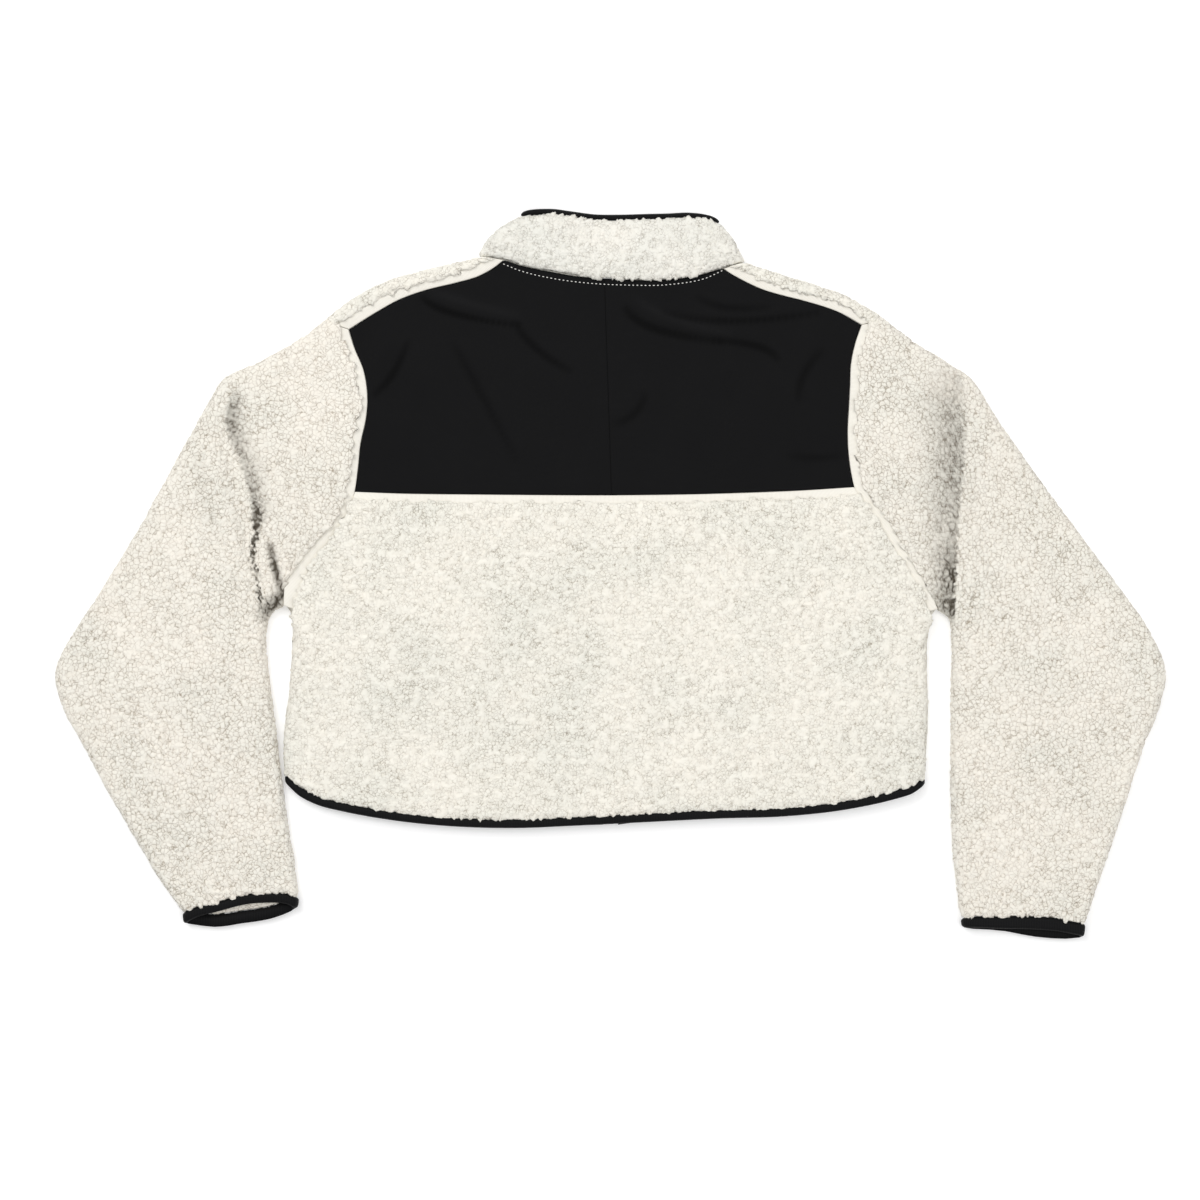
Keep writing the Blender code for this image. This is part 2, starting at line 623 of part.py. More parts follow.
def sleeve_head(side):
    """The sleeve's edge at the armhole, from the shoulder fold to the underarm."""
    turn = 1 if side == "left" else -1
    armhole = points(of_side(side, ARMHOLE_LEFT, ARMHOLE_RIGHT), 2, 3)
    start = np.array(of_side(side, SHOULDER_LEFT, SHOULDER_RIGHT)[0][4:6])
    return moved(np.vstack([start[None], armhole]), -turn * GAP)


def cuff_lines(side):
    """At the sleeve's stations: the cuff seam on the upper layer, the width of the binding,
    and how far the lower layer sticks out."""
    stations = share_along(sleeve_head(side))
    seam = at(smooth(points(of_side(side, CUFF_LEFT, CUFF_RIGHT), 0, 1, 2, 3)), stations)
    return stations, seam[:, :2], seam[:, 2], seam[:, 3]


def sleeve(side):
    """A flattened sherpa tube from the armhole, round the elbow, to the cuff."""
    head = sleeve_head(side)
    stations, cuff, _, peek = cuff_lines(side)
    cuff = cuff + [0, GAP]
    peek = np.column_stack([0 * peek, peek])
    bow_head = head - (head[:1] + stations[:, None] * (head[-1:] - head[:1]))
    bow_cuff = cuff - (cuff[:1] + stations[:, None] * (cuff[-1:] - cuff[:1]))
    upper, lower, puffs = [head], [head], [0]
    for outer_x, outer_y, inner_x, inner_y, head_share, cuff_share, puff in of_side(
        side, SLEEVE_LEFT, SLEEVE_RIGHT
    ):
        ends = np.array([[outer_x, outer_y], [inner_x, inner_y]], float)
        line = ends[:1] + stations[:, None] * (ends[1:] - ends[:1])
        line = line + head_share * bow_head + cuff_share * bow_cuff
        upper.append(line)
        lower.append(line - cuff_share * peek)
        puffs.append(puff)
    upper = np.stack([*upper, cuff])
    lower = np.stack([*lower, cuff - peek])
    crown = np.sin(np.pi * stations)[None] ** 0.5 * np.array([*puffs, 0])[:, None]
    z = STACK + crown + folds(upper, SLEEVE_FOLDS)
    z = np.maximum(z, 2 * FLEECE + 0.7)
    outer, inner = flat_loop(upper, lower, z, 0.0, FLEECE)
    wall(f"sleeve_{side}", outer, inner, "sherpa fleece", round_shut=True)


def cuff_binding(side):
    """Folded binding round the sleeve's end. The lower layer sticks out past the upper one."""
    stations, line, width, peek = cuff_lines(side)
    ends = np.interp(stations, CUFF_ENDS, [0, 1, 1, 0])
    lower_width = width + ends * (CUFF_BINDING - width)
    down = np.array([0, -1.0])
    upper, lower = [], []
    for share in (0.0, 0.5, 1.0):
        tuck = (line[-1, 0] - line[0, 0]) * CUFF_TUCK * share**2
        tuck = tuck * np.interp(stations, CUFF_ENDS, [1, 0, 0, -1])
        tuck = np.column_stack([tuck, 0 * tuck])
        upper.append(line + down * (CUFF_GAP + share * width)[:, None] + tuck)
        lower.append(line + down * (CUFF_GAP + peek + share * lower_width)[:, None] + tuck)
    z = BINDING_HIGH + BINDING_ROUND[:, None] + np.zeros(len(stations))
    outer, inner = flat_loop(np.stack(upper), np.stack(lower), z, BINDING_LOW, BINDING_THICK)
    wall(f"cuff_binding_{side}", outer, inner, "black stretch binding", round_shut=True)


def collar_plan(rows, above):
    """Plan of the collar's back layer, and of its front layer, which lies lower. Rows past 1
    go into the binding, which is above wide."""
    neck = points(NECK_LINE, 0, 1) + [0, GAP]
    stations = share_along(neck)
    edge = at(smooth(COLLAR_EDGE), stations)
    neck[0], neck[-1] = COLLAR_FOLD_LEFT[0], COLLAR_FOLD_RIGHT[0]
    inside = np.linspace(0, 1, COLLAR_ROWS)
    left, right = at(smooth(COLLAR_FOLD_LEFT), inside), at(smooth(COLLAR_FOLD_RIGHT), inside)
    edge[0], edge[-1] = left[-1], right[-1]
    plan = between(neck, edge, left, right)
    if rows[-1] > 1:
        past = (rows - 1)[:, None] * above
        lean = np.interp(stations, COLLAR_ENDS, COLLAR_LEAN)
        plan = plan[-1:] + np.dstack([past * lean, past * np.ones(len(stations))])
    drop = front_drop(neck[:, 0])
    lower = plan.copy()
    lower[..., 1] -= drop
    return plan, lower, drop / FRONT_NECK_DROP


def collar_sag(rows, share):
    """How far the back layer sinks towards the surface, past the front layer's upper edge."""
    past = COLLAR_HEIGHT * (rows[:, None] - (1 - share[None])) - COLLAR_BINDING
    return (LAYER - COLLAR_SAG_LEFT) * eased((past - COLLAR_SAG_START) / COLLAR_SAG_RUN)


def collar():
    """Sherpa stand collar, flattened, folded at both ends and open at the centre front."""
    rows = np.linspace(0, 1, COLLAR_ROWS)
    upper, lower, share = collar_plan(rows, 0)
    z = STACK + COLLAR_CROWN[:, None] - collar_sag(rows, share)
    outer, inner = flat_loop(upper, lower, z, 0.0, FLEECE, split=ZIP_HALF + GAP)
    wall("collar", outer, inner, "sherpa fleece")


def collar_binding():
    """Folded binding on the collar's upper edge."""
    rows = 1 + np.array([1.5 * GAP / COLLAR_BINDING, 0.5, 1])
    upper, lower, share = collar_plan(rows, COLLAR_BINDING)
    past = 1 + (rows - 1) * COLLAR_BINDING / COLLAR_HEIGHT
    z = BINDING_HIGH + BINDING_ROUND[:, None] - collar_sag(past, share)
    outer, inner = flat_loop(
        upper, lower, z, BINDING_LOW, BINDING_THICK, split=ZIP_HALF + GAP
    )
    wall("collar_binding", outer, inner, "black stretch binding")


def hem_binding():
    """Folded binding round the hem, from one edge of the zip to the other."""
    line = with_pile_edge(points(HEM, 0, 1, 2))
    line = np.delete(line, [1, 2, -3, -2], axis=0)
    rise = np.array([0, 1.0])
    upper = [line[:, :2] + rise * share * line[:, 2:] for share in (0.0, 0.5, 1.0)]
    upper = np.stack(upper)
    lower = upper + [0, FRONT_HEM_RISE]
    lower[-1] = upper[-1]
    z = BINDING_HIGH + BINDING_ROUND[:, None] + np.zeros(len(line))
    outer, inner = flat_loop(
        upper, lower, z, BINDING_LOW, BINDING_THICK, split=ZIP_HALF + GAP
    )
    wall("hem_binding", outer, inner, "black stretch binding")


def front_zip():
    """Closed zip on the hidden centre front: a tape with the joined teeth as a rib on it."""
    half = [ZIP_HALF, TEETH_HALF, TEETH_TOP_HALF]
    half = np.array([-ZIP_HALF, -TEETH_HALF, -TEETH_TOP_HALF, *half[::-1]])
    on_teeth = np.array([False, False, True, True, False, False])
    low = np.where(on_teeth, TEETH_LOW, ZIP_TAPE_LOW)
    high = np.where(on_teeth, TEETH_HIGH, ZIP_TAPE_HIGH)
    ends = np.linspace(*ZIP_ENDS, 3)
    grid = np.dstack(np.meshgrid(CENTRE_FRONT + half, ends))
    wall("front_zip", raised(grid, high), raised(grid, low), "black zip tape")


def zip_slider():
    """Slider at the top of the closed zip, with a low bridge on its outer side."""
    grid = np.dstack([
        CENTRE_FRONT + SLIDER_HALF[:, None] * np.array([-1, -0.4, 0.4, 1])[None],
        np.broadcast_to(SLIDER_ALONG[:, None], (4, 4)),
    ])
    low = np.full((4, 4), SLIDER_PLATE)
    low[1:3, 1:3] = SLIDER_BRIDGE
    wall("zip_slider", raised(grid, SLIDER_TOP), raised(grid, low), "black painted metal")


def main():
    clear_scene()
    back_body()
    for side in ("left", "right"):
        yoke(side)
        front(side)
        sleeve(side)
        cuff_binding(side)
    seam_tapes()
    collar()
    collar_binding()
    hem_binding()
    front_zip()
    zip_slider()


main()
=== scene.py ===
"""Looks of a cropped sherpa fleece jacket that lies flat with its back up.

Every cut piece is a closed shell on its solid's form. A coarse grid of places is laid between
the piece's seams, made finer with cubic spans, rounded off at its edges, and the fleece's
pile is raised on it along the surface's own normals. Tables and helpers are in millimetres,
and are turned to metres when a mesh is made.
"""

from itertools import product

import bpy
import numpy as np
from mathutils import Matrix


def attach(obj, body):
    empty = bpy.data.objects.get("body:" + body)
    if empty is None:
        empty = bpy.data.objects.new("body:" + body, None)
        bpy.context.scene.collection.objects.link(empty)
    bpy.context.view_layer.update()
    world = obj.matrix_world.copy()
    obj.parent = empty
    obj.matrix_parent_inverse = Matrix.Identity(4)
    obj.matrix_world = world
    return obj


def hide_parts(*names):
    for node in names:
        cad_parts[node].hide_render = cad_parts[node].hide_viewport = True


bl_info = {
    "name": "Cropped sherpa fleece jacket",
    "version": (1, 0, 0),
    "blender": (4, 5, 0),
    "location": "3D View > Sidebar > Jacket",
    "description": "Builds the cloth, pile, tapes, bindings and stitching of a laid jacket",
    "category": "Add Mesh",
}

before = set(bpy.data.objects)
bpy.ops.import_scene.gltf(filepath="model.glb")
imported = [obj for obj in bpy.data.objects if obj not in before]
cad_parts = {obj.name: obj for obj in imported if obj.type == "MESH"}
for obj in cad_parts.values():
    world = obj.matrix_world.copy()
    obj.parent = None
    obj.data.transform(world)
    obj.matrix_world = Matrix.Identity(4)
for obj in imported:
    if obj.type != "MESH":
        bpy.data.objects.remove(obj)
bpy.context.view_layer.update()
MM = 0.001

# --- sizes and seam lines, as the solids have them --------------------------------------

FLEECE = 6.4  # sherpa cloth with its pile
LAYER = 7.0  # half of the laid stack
STACK = 2 * LAYER
BACK_LOW = LAYER + 0.3  # underside of what lies on the fronts
FRONT_HIGH = LAYER - 0.4
WOVEN = 1.5
TAPE_WIDTH = 7.2
TAPE_THICK = 3.0
TAPE_TURNED = 5.0  # of a tape's cut width that is caught in its two seams
BINDING_THICK = 5.0
BINDING_LOW = 0.4
BINDING_HIGH = STACK - 0.8
FRONT_HEM_RISE = 0.6
GAP = 0.4  # between neighbours at a seam
CUFF_GAP = 1.0
FRONT_NECK_DROP = 54.0
COLLAR_HEIGHT = 52.0
ZIP_HALF = 6.0
ZIP_ENDS = (-206.0, 234.0)
TURN_STEPS = 3

# Seam round the back armhole. Columns: body x, body y, sleeve x, sleeve y.
ARMHOLE_LEFT = (
    (-223, 208, -234, 211.5),
    (-218, 192, -226, 190),
    (-210, 172, -218, 170),
    (-207, 150, -215, 150),
    (-208, 134, -216, 133),
    (-213, 110, -221, 109),
    (-215, 90, -223, 89),
    (-218, 69, -226, 70),
    (-222, 55, -229, 57),
    (-230, 40, -236, 44),
    (-243, 22, -250, 27),
    (-255, 4, -265, 10),
    (-263, -12, -275, -7),
    (-269, -30, -277, -27),
)
ARMHOLE_RIGHT = (
    (214, 212, 223, 213.5),
    (209, 198, 217, 197),
    (205, 180, 213, 179),
    (204, 160, 212, 160),
    (203, 140, 211, 140),
    (202, 122, 210, 121),
    (203, 100, 211, 99),
    (205, 86, 213, 86),
    (208, 73, 216, 75),
    (215, 61, 222, 65),
    (226, 46, 233, 50),
    (238, 26, 245, 30),
    (250, 6, 257, 10),
    (262, -14, 269, -11),
    (270, -32, 277, -30),
)

# Shoulder from its tip to the neck. Columns: yoke x, y, tape x, y, fold x, y.
SHOULDER_LEFT = (
    (-223, 208, -234, 211.5, -243, 217),
    (-199, 223, -204, 229.5, -210, 240),
    (-181, 233, -184.5, 240, -188, 250),
    (-156, 242, -158.5, 249, -161, 258),
    (-132, 247.5, -134, 254.5, -137, 263),
    (-110, 252.5, -113, 259.5, -122, 264.6),
    (-98, 258, -105, 262, -117, 265),
    (-91.5, 263, -100, 264, -113, 265.2),
)
SHOULDER_RIGHT = (
    (214, 212, 223, 213.5, 230, 219.5),
    (194, 223, 197.5, 229, 201, 236.5),
    (163, 233, 165.5, 239.5, 169, 247.5),
    (147, 237, 149.5, 243.5, 153, 252.5),
    (130, 242, 133, 248.5, 137, 258),
    (110, 251, 114.5, 256.5, 123, 262),
    (102, 255, 109, 258.8, 119, 263.2),
    (96.5, 258.4, 105, 260.8, 115.5, 264.2),
)

# Columns: x, y.
YOKE_LOWER = ((-218, 70), (-179, 68.5), (-94, 67.5), (0, 67), (76, 68), (161, 71), (208, 74))
CENTRE_BACK = ((1, 67), (-5, 251))
NECK_LINE = (
    (-113, 266), (-100, 265), (-91, 264), (-74, 260), (-55, 256), (-26, 252), (0, 250.5),
    (34, 250), (55, 251.5), (80, 255), (96, 259.4), (105, 262), (115.5, 265),
)
SIDE_LEFT = ((-277, -170), (-278, -150), (-276.5, -125), (-272.5, -95), (-271, -70),
             (-270, -52), (-269.5, -36))
SIDE_RIGHT = ((267.5, -172), (268.5, -150), (270, -120), (269, -74), (269.5, -50), (271, -38))

# Lower edge of the hem binding. Columns: x, y, width.
HEM = (
    (-277, -178, 7.5),
    (-264, -189, 8.5),
    (-250, -196, 8.0),
    (-227, -202, 8.0),
    (-188, -209, 8.0),
    (-135, -214.5, 8.0),
    (-80, -216, 8.0),
    (-30, -214, 8.0),
    (30, -211, 8.0),
    (90, -208, 8.0),
    (149, -206, 8.0),
    (196, -201, 8.0),
    (236, -193, 8.0),
    (256, -187, 8.0),
    (267.5, -180, 7.5),
)

# Columns: outer x, outer y, inner x, inner y, armhole share, cuff share, puff.
SLEEVE_LEFT = (
    (-261, 202, -279, -28.5, 0.80, 0.0, 0.3),
    (-298, 181, -281.5, -29.5, 0.52, 0.0, 0.8),
    (-331, 164, -284, -30.8, 0.30, 0.0, 1.2),
    (-343, 144, -286.5, -32.5, 0.18, 0.0, 1.4),
    (-367, 101, -289, -36, 0.08, 0.0, 1.6),
    (-400, 41, -291.5, -43, 0.0, 0.0, 1.8),
    (-439, -23, -293, -55, 0.0, 0.0, 1.8),
    (-466, -66, -292, -70, 0.0, 0.0, 1.8),
    (-472.3, -85, -290, -86, 0.0, 0.0, 1.8),
    (-468, -108, -287.5, -108, 0.0, 0.0, 1.6),
    (-449, -145, -283.5, -138, 0.0, 0.0, 1.4),
    (-427, -186, -279.8, -172, 0.0, 0.1, 1.2),
    (-403, -227, -275, -206, 0.0, 0.3, 0.8),
    (-380, -265, -269, -243, 0.0, 0.7, 0.3),
)
SLEEVE_RIGHT = (
    (252, 202, 279, -31.5, 0.80, 0.0, 0.3),
    (285, 181, 281, -32.5, 0.52, 0.0, 0.8),
    (308, 165, 283, -34, 0.32, 0.0, 1.2),
    (323, 141, 285, -35.5, 0.18, 0.0, 1.4),
    (351, 100, 287.5, -39, 0.08, 0.0, 1.6),
    (388, 49, 289, -46, 0.0, 0.0, 1.8),
    (428, -5, 289.5, -56, 0.0, 0.0, 1.8),
    (460, -51, 289.8, -70, 0.0, 0.0, 1.8),
    (472.3, -83, 289.5, -88, 0.0, 0.0, 1.8),
    (468, -110, 289.2, -110, 0.0, 0.0, 1.6),
    (454, -146, 289, -140, 0.0, 0.0, 1.4),
    (441, -186, 289, -176, 0.0, 0.1, 1.2),
    (427, -228, 289.8, -214, 0.0, 0.3, 0.8),
    (413, -268, 292.5, -254, 0.0, 0.7, 0.3),
)

# Columns: x, y, width, lower layer.
CUFF_LEFT = (
    (-364, -287, 9.5, 0.0),
    (-351, -282, 8.5, 5.5),
    (-334, -278, 8.0, 11.0),
    (-311, -271.5, 8.5, 14.0),
    (-293, -270, 8.5, 13.0),
    (-277, -270, 9.0, 8.0),
    (-265, -274, 9.5, 0.0),
)
CUFF_RIGHT = (
    (404, -296, 11.0, 1.5),
    (390, -294.5, 10.0, 4.5),
    (379, -291.5, 11.0, 7.4),
    (358, -290, 11.0, 6.8),
    (332, -290, 10.5, 2.0),
    (306, -290.5, 9.0, 0.5),
    (298, -292, 8.0, 0.0),
)
CUFF_BINDING = 10.5
CUFF_TUCK = 0.012

COLLAR_FOLD_LEFT = ((-113, 266.4), (-104.5, 283), (-95, 294), (-78, 303.8))
COLLAR_FOLD_RIGHT = ((115.5, 265.4), (109, 275), (105, 284.5), (94, 297.5))
COLLAR_EDGE = ((-78, 303.8), (-56, 305), (-40, 304.4), (-9, 300.8), (34, 301.5), (68, 301.8),
               (85, 299.5), (94, 297.5))
COLLAR_BINDING = 5.5
COLLAR_LEAN = (0.8, 0.0, 0.0, -0.6)
COLLAR_CROWN = np.array([-0.8, 1.2, 1.6, 1.6, 1.0, -0.2])
COLLAR_ROWS = 6
BODY_ROWS = 7
BODY_ARMHOLE_ROWS = 6

# Folds. Columns: start x, y, middle x, y, end x, y, half width, height.
SLEEVE_FOLDS = (
    (-331, 166, -318, 70, -290, -30, 9, -2.6),
    (-344, 132, -334, 60, -303, -38, 13, 2.4),
    (-286, 30, -281, 4, -277, -22, 4, -1.2),
    (-300, 150, -288, 70, -270, 20, 16, 1.0),
    (278, 176, 290, 96, 287, -36, 10, -2.2),
    (312, 140, 304, 60, 303, -40, 13, 1.8),
    (-300, -60, -360, -95, -430, -100, 16, 1.2),
    (300, -60, 360, -92, 430, -96, 16, 1.2),
)
YOKE_FOLDS = (
    (-166, 237, -132, 232, -81, 199, 6, 1.4),
    (-183, 199, -195, 190, -202, 168, 7, 1.0),
    (12, 233, 60, 208, 128, 200, 7, 1.2),
    (76, 220, 120, 215, 165, 225, 6, 1.2),
    (-60, 190, -52, 140, -56, 96, 7, 0.8),
    (96, 176, 104, 130, 98, 92, 7, 0.8),
)
# Creases. Columns: the same, and how dark the pile is in the crease's own shadow.
SLEEVE_CREASES = (
    (-336, 128, -328, 60, -299, -34, 5.0, 1.2, 0.0),
    (-288.5, 24, -286, 2, -277, -20, 3.2, -3.0, 0.95),
    (-294, -35, -287, -26, -276, -18, 6.5, -3.0, 1.0),
    (-352, 100, -345, 60, -336, 30, 5.0, -0.7, 0.06),
    (310, 120, 306, 70, 304, 20, 6.0, -0.7, 0.05),
)
# Where a roll of the sleeve laps over the cloth on its body side. Columns: y, x of the roll's
# edge, width of the shade beside it, how dark that is, and how far it reaches onto the roll.
SLEEVE_LAPS = {
    "left": (
        (-36, -296, 1.6, 0.0, 1.0), (-28, -296.6, 1.6, 0.9, 1.0), (-13.6, -298.8, 1.6, 0.85, 1.0),
        (0, -300.5, 1.5, 0.7, 1.0), (11.9, -304.2, 1.5, 0.8, 1.0), (23, -303.5, 1.6, 0.9, 1.0),
        (37, -301.5, 2.6, 1.1, 1.0), (45, -302.5, 7.0, 1.0, 1.0), (52, -303, 9.0, 0.9, 1.2),
        (65.5, -304.7, 10.0, 0.55, 1.6), (80, -307.3, 11.0, 0.45, 2.4),
        (92.7, -310.7, 12.0, 0.46, 2.6), (103.7, -316.6, 12.0, 0.48, 2.4),
        (114, -321.7, 12.0, 0.6, 1.8), (127, -325.1, 11.0, 0.72, 1.4),
        (138, -324.3, 9.5, 0.74, 1.6), (148, -320.9, 8.0, 0.5, 2.4), (158, -318.0, 6.0, 0.0, 4.0),
    ),
    "right": (
        (-42, 291, 14, 0.0, 1.0), (-33, 291.1, 14, 0.8, 1.0), (-13.6, 291.6, 15, 0.74, 1.0),
        (5, 292, 15, 0.76, 1.0), (20, 292.4, 17, 0.6, 1.0), (37, 293.3, 19, 0.48, 1.4),
        (63, 295.4, 22, 0.46, 2.0), (88, 297.1, 24, 0.5, 2.4), (114, 297.6, 25, 0.48, 3.6),
        (148, 295.5, 24, 0.4, 5.0), (166, 294, 20, 0.24, 6.0), (182, 292, 16, 0.0, 6.0),
    ),
}
LAP_DEPTH = 2.4  # how far the cloth beside such a roll sinks where it is darkest

# Drag creases of the yoke and the back body's soft folds. Columns: as the sleeves' folds.
YOKE_CREASES = (
    (-159, 234.6, -147, 219, -78.6, 211.6, 2.4, -1.9),
    (-80, 212, -68, 190, -35, 173, 3.0, -1.2),
    (-150, 240, -128, 231, -80, 220, 3.6, 0.8),
    (-133, 195, -116, 165, -81, 99, 3.6, -0.7),
    (-173, 195, -184, 165, -200, 153, 3.0, -1.2),
    (13.7, 225, 26, 204, 93, 198, 3.0, -1.7),
    (88, 198, 132, 197, 142, 183, 2.8, -1.4),
    (24, 233, 44, 214, 100, 206, 3.8, 0.7),
    (47, 222, 95, 208, 175, 222, 3.0, -1.2),
    (75, 234.6, 96, 222, 133, 227, 3.0, -0.9),
    (29, 152, 26, 134, 4.5, 127.5, 3.4, -0.8),
    (179, 189, 160, 170, 160, 149, 3.6, -0.9),
    (154, 100, 174, 97, 194, 100, 3.4, -0.6),
)
BODY_FOLDS = (
    (-250, -30, -150, -55, -40, -40, 22, 1.0),
    (40, -60, 150, -90, 250, -60, 24, 1.0),
    (-200, -150, -60, -135, 60, -160, 22, -0.8),
)

# Row of topstitches under the collar. Columns: x, y.
STITCH_LINE = ((-91, 263.6), (-75.8, 257.5), (-56.7, 252.7), (-33.8, 248.9), (-7.1, 246.4),
               (21.5, 245.5), (42.5, 245.5), (65.4, 247.9), (80.7, 251.4), (95, 257.9))

# How far the neck's corners lie above the plain line. Columns: x, y, half widths, rise.
NECK_RISES = (
    (-104, 266, 24, 16, 4.4),
    (-56, 256, 30, 14, 2.4),
    (0, 250, 40, 12, 1.2),
    (92, 262, 22, 14, 1.4),
)
# Where the collar's lower edge is shaggy. Columns: x, reach of its tufts.
NECK_SHAG = ((-110, 0.3), (-25, 0.5), (-12, 1.8), (8, 3.6), (24, 2.2), (42, 3.2), (72, 1.6),
             (90, 0.4), (115, 0.3))

# Lamps. Columns: name, place, tilt, width, share of the key lamp's power.
LAMPS = (
    ("key", (-1.6, 1.8, 2.6), (-0.60, -0.50, 0.0), 2.2, 1.0),
    ("fill", (1.8, -0.6, 2.4), (0.24, 0.62, 0.0), 2.6, 0.45),
    ("top", (0.0, 0.2, 3.4), (0.0, 0.0, 0.0), 2.4, 0.5),
)
CAMERA_LENS = 85
CAMERA_PLACE = (-0.0089, -0.0221, 2.418)

# --- how finely the shells are divided --------------------------------------------------

FINE = 1.3  # spacing of the fleece's grid where the camera sees it
HIDDEN = 2.6  # spacing on the underside
SMOOTH = 2.2  # spacing of the woven cloth's grid
NARROW = 0.9  # spacing across tapes and bindings
STRIDE = 6  # the inner surface takes every sixth row and column
EDGE_STEPS = (0.0, 0.35, 1.0, 2.0, 3.2)  # places of the first rows near an edge
# Spacing of a loop's rows, of its columns where the camera sees them, and of the hidden ones.
SLEEVE_SPACING = (1.2, 1.25, 2.1)
COLLAR_SPACING = (1.0, 1.0, 2.4)
BINDING_SPACING = (NARROW, 1.6, 2.4)

# --- how the cloth's surface goes -------------------------------------------------------

PILE_MEAN = 0.7  # mean of the tufts' height
CURL_PART = 0.5  # how unlike two tufts are that part fully
CREVICE = 0.24  # width of a crevice over a tuft's
PILE_SWELL = (0.35, 34.0)  # height and width of the pile's slow rise and fall
# The same for the yoke's cloth, the tapes, the bindings and the zip.
YOKE_SWELL = (0.22, 70.0)
TAPE_SWELL = (0.12, 13.0)
BINDING_SWELL = (0.2, 17.0)
ZIP_SWELL = (0.1, 40.0)
LAP_EDGE = (3.2, 4.6)  # how far the edge of a lapping roll wanders, and over what width
CREASE_DARK = (2.2, 1.9)  # a crease's shade between the tufts, and how much less it is on a tip
# Painted light of the yoke's cloth: its colour is multiplied by a tone that is darker in a crease's
# hollow (painted shade) and lighter on its ridge (painted highlight).
YOKE_CREASE_LIGHT = (0.7, 0.5, 1.1)  # the yoke's tone on the flat, its change in a crease, and that depth
SIDE_ROLL = (0.14, 0.76, 14.0)  # share at the armhole, what a side adds, and over what run

LEAN_RUN = 4.0  # width of the strip along an edge whose tufts lean over it
LEAN_SHARES = (0.22, 1.4)  # share of the reach that all tufts lean, and that the tallest add
HEM_REACH = 3.6  # how far the back's tufts lean over the hem binding
HEM_RUN = 48.0  # width from the hem's left end over which they grow to that
YOKE_SEAM_REACH = 2.6
SIDE_REACH = 4.0
FRONT_REACHES = (1.5, 3.0, 0, 0)  # hem, tape on the shoulder, side, centre front
SLEEVE_REACHES = (4.4, 2.8, 0, 0)  # armhole, cuff
CENTRE_SEAM_REACH = 0.56 * GAP  # how far each half of the yoke leans over the centre back seam
TAPE_REACHES = (0, 0, 0.2, 0.9)  # two ends, body's edge, outer edge
COLLAR_CREST = (2.8, 1.8)  # reach of the collar's upper tufts in the middle, and what ends add
COLLAR_MIDDLE = 8.0
COLLAR_ENDS = (62.0, 20.0)  # how far from the middle that starts, and over what width it grows
COLLAR_TUFTS_ABOVE = 4.0  # height over which its tufts lean: those of the front layer don't

ZIP_LEVELS = (3.0, 4.4, 3.4)  # heights of the tape's lower and upper face, and of the teeth
TOOTH_HALF = (1.65, 0.38, 1.75)  # half sizes of a tooth: the second is over its pitch
TOOTH_OFFSET = 0.55  # how far a tooth stands off the centre line, to each side by turns
STITCH_HALF = (0.25, 0.42, 0.36)  # half sizes of a stitch: the first is over its spacing
STITCH_RISE = 0.3  # of a stitch's middle above the yoke's cloth


# --- lines in plan ----------------------------------------------------------------------


def points(table, *names):
    """The chosen columns of a table, one point a row."""
    return np.array(table, float)[:, list(names)]


def smooth(line, steps=10):
    """A dense line through the points: on each span a cubic whose slope at a point is half
    the step between its two neighbours."""
    line = np.array(line, float)
    padded = np.vstack([2 * line[0] - line[1], line, 2 * line[-1] - line[-2]])
    t = np.linspace(0, 1, steps, endpoint=False)[:, None]
    spans = []
    for before, start, end, after in zip(padded, padded[1:], padded[2:], padded[3:]):
        spans.append(0.5 * (
            2 * start
            + (end - before) * t
            + (2 * before - 5 * start + 4 * end - after) * t**2
            + (3 * start - before - 3 * end + after) * t**3
        ))
    return np.vstack([*spans, line[-1:]])


def share_along(line):
    """How far along the line each of its points lies, from 0 to 1."""
    length = np.concatenate([[0], np.cumsum(np.linalg.norm(np.diff(line[:, :2], axis=0), axis=1))])
    return length / length[-1]


def at(line, fractions):
    """Points of a line at fractions of its length."""
    along = share_along(line)
    return np.column_stack([np.interp(fractions, along, column) for column in line.T])


def at_x(line, x):
    """The height y of a line at x."""
    line = line[np.argsort(line[:, 0])]
    return np.interp(x, line[:, 0], line[:, 1])


def moved(line, distance):
    """The line moved to its left, seen along its direction, by a distance."""
    steps = np.diff(line[:, :2], axis=0)
    steps /= np.linalg.norm(steps, axis=1)[:, None]
    along = np.vstack([steps[:1], steps[1:] + steps[:-1], steps[-1:]])
    along /= np.linalg.norm(along, axis=1)[:, None]
    return line[:, :2] + distance * np.column_stack([-along[:, 1], along[:, 0]])


def between(bottom, top, left, right):
    """A grid that blends four edge lines, as a Coons patch: the blend of bottom and top, plus
    the blend of left and right, minus the blend of the four corners."""
    u = ((share_along(bottom) + share_along(top)) / 2)[None, :, None]
    v = ((share_along(left) + share_along(right)) / 2)[:, None, None]
    low, high, near, far = bottom[None], top[None], left[:, None], right[:, None]
    corners = (
        (1 - u) * (1 - v) * low[:, :1] + u * (1 - v) * low[:, -1:]
        + (1 - u) * v * high[:, :1] + u * v * high[:, -1:]
    )
    return (1 - v) * low + v * high + (1 - u) * near + u * far - corners


def of_side(side, left, right):
    """The left or the right table."""
    return left if side == "left" else right


def neck_height(x):
    """The height y of the neck's seam at x."""
    return at_x(points(NECK_LINE, 0, 1), x)


def risen(grid):
    """A grid with its points by the neck moved up in plan: each rise times a bell of the
    distance to its middle. All pieces that meet there move alike."""
    moved_grid = grid.copy()
    for x, y, wide, high, rise in NECK_RISES:
        apart = ((grid[..., 0] - x) / wide) ** 2 + ((grid[..., 1] - y) / high) ** 2
        moved_grid[..., 1] += rise * np.exp(-apart)
    return moved_grid


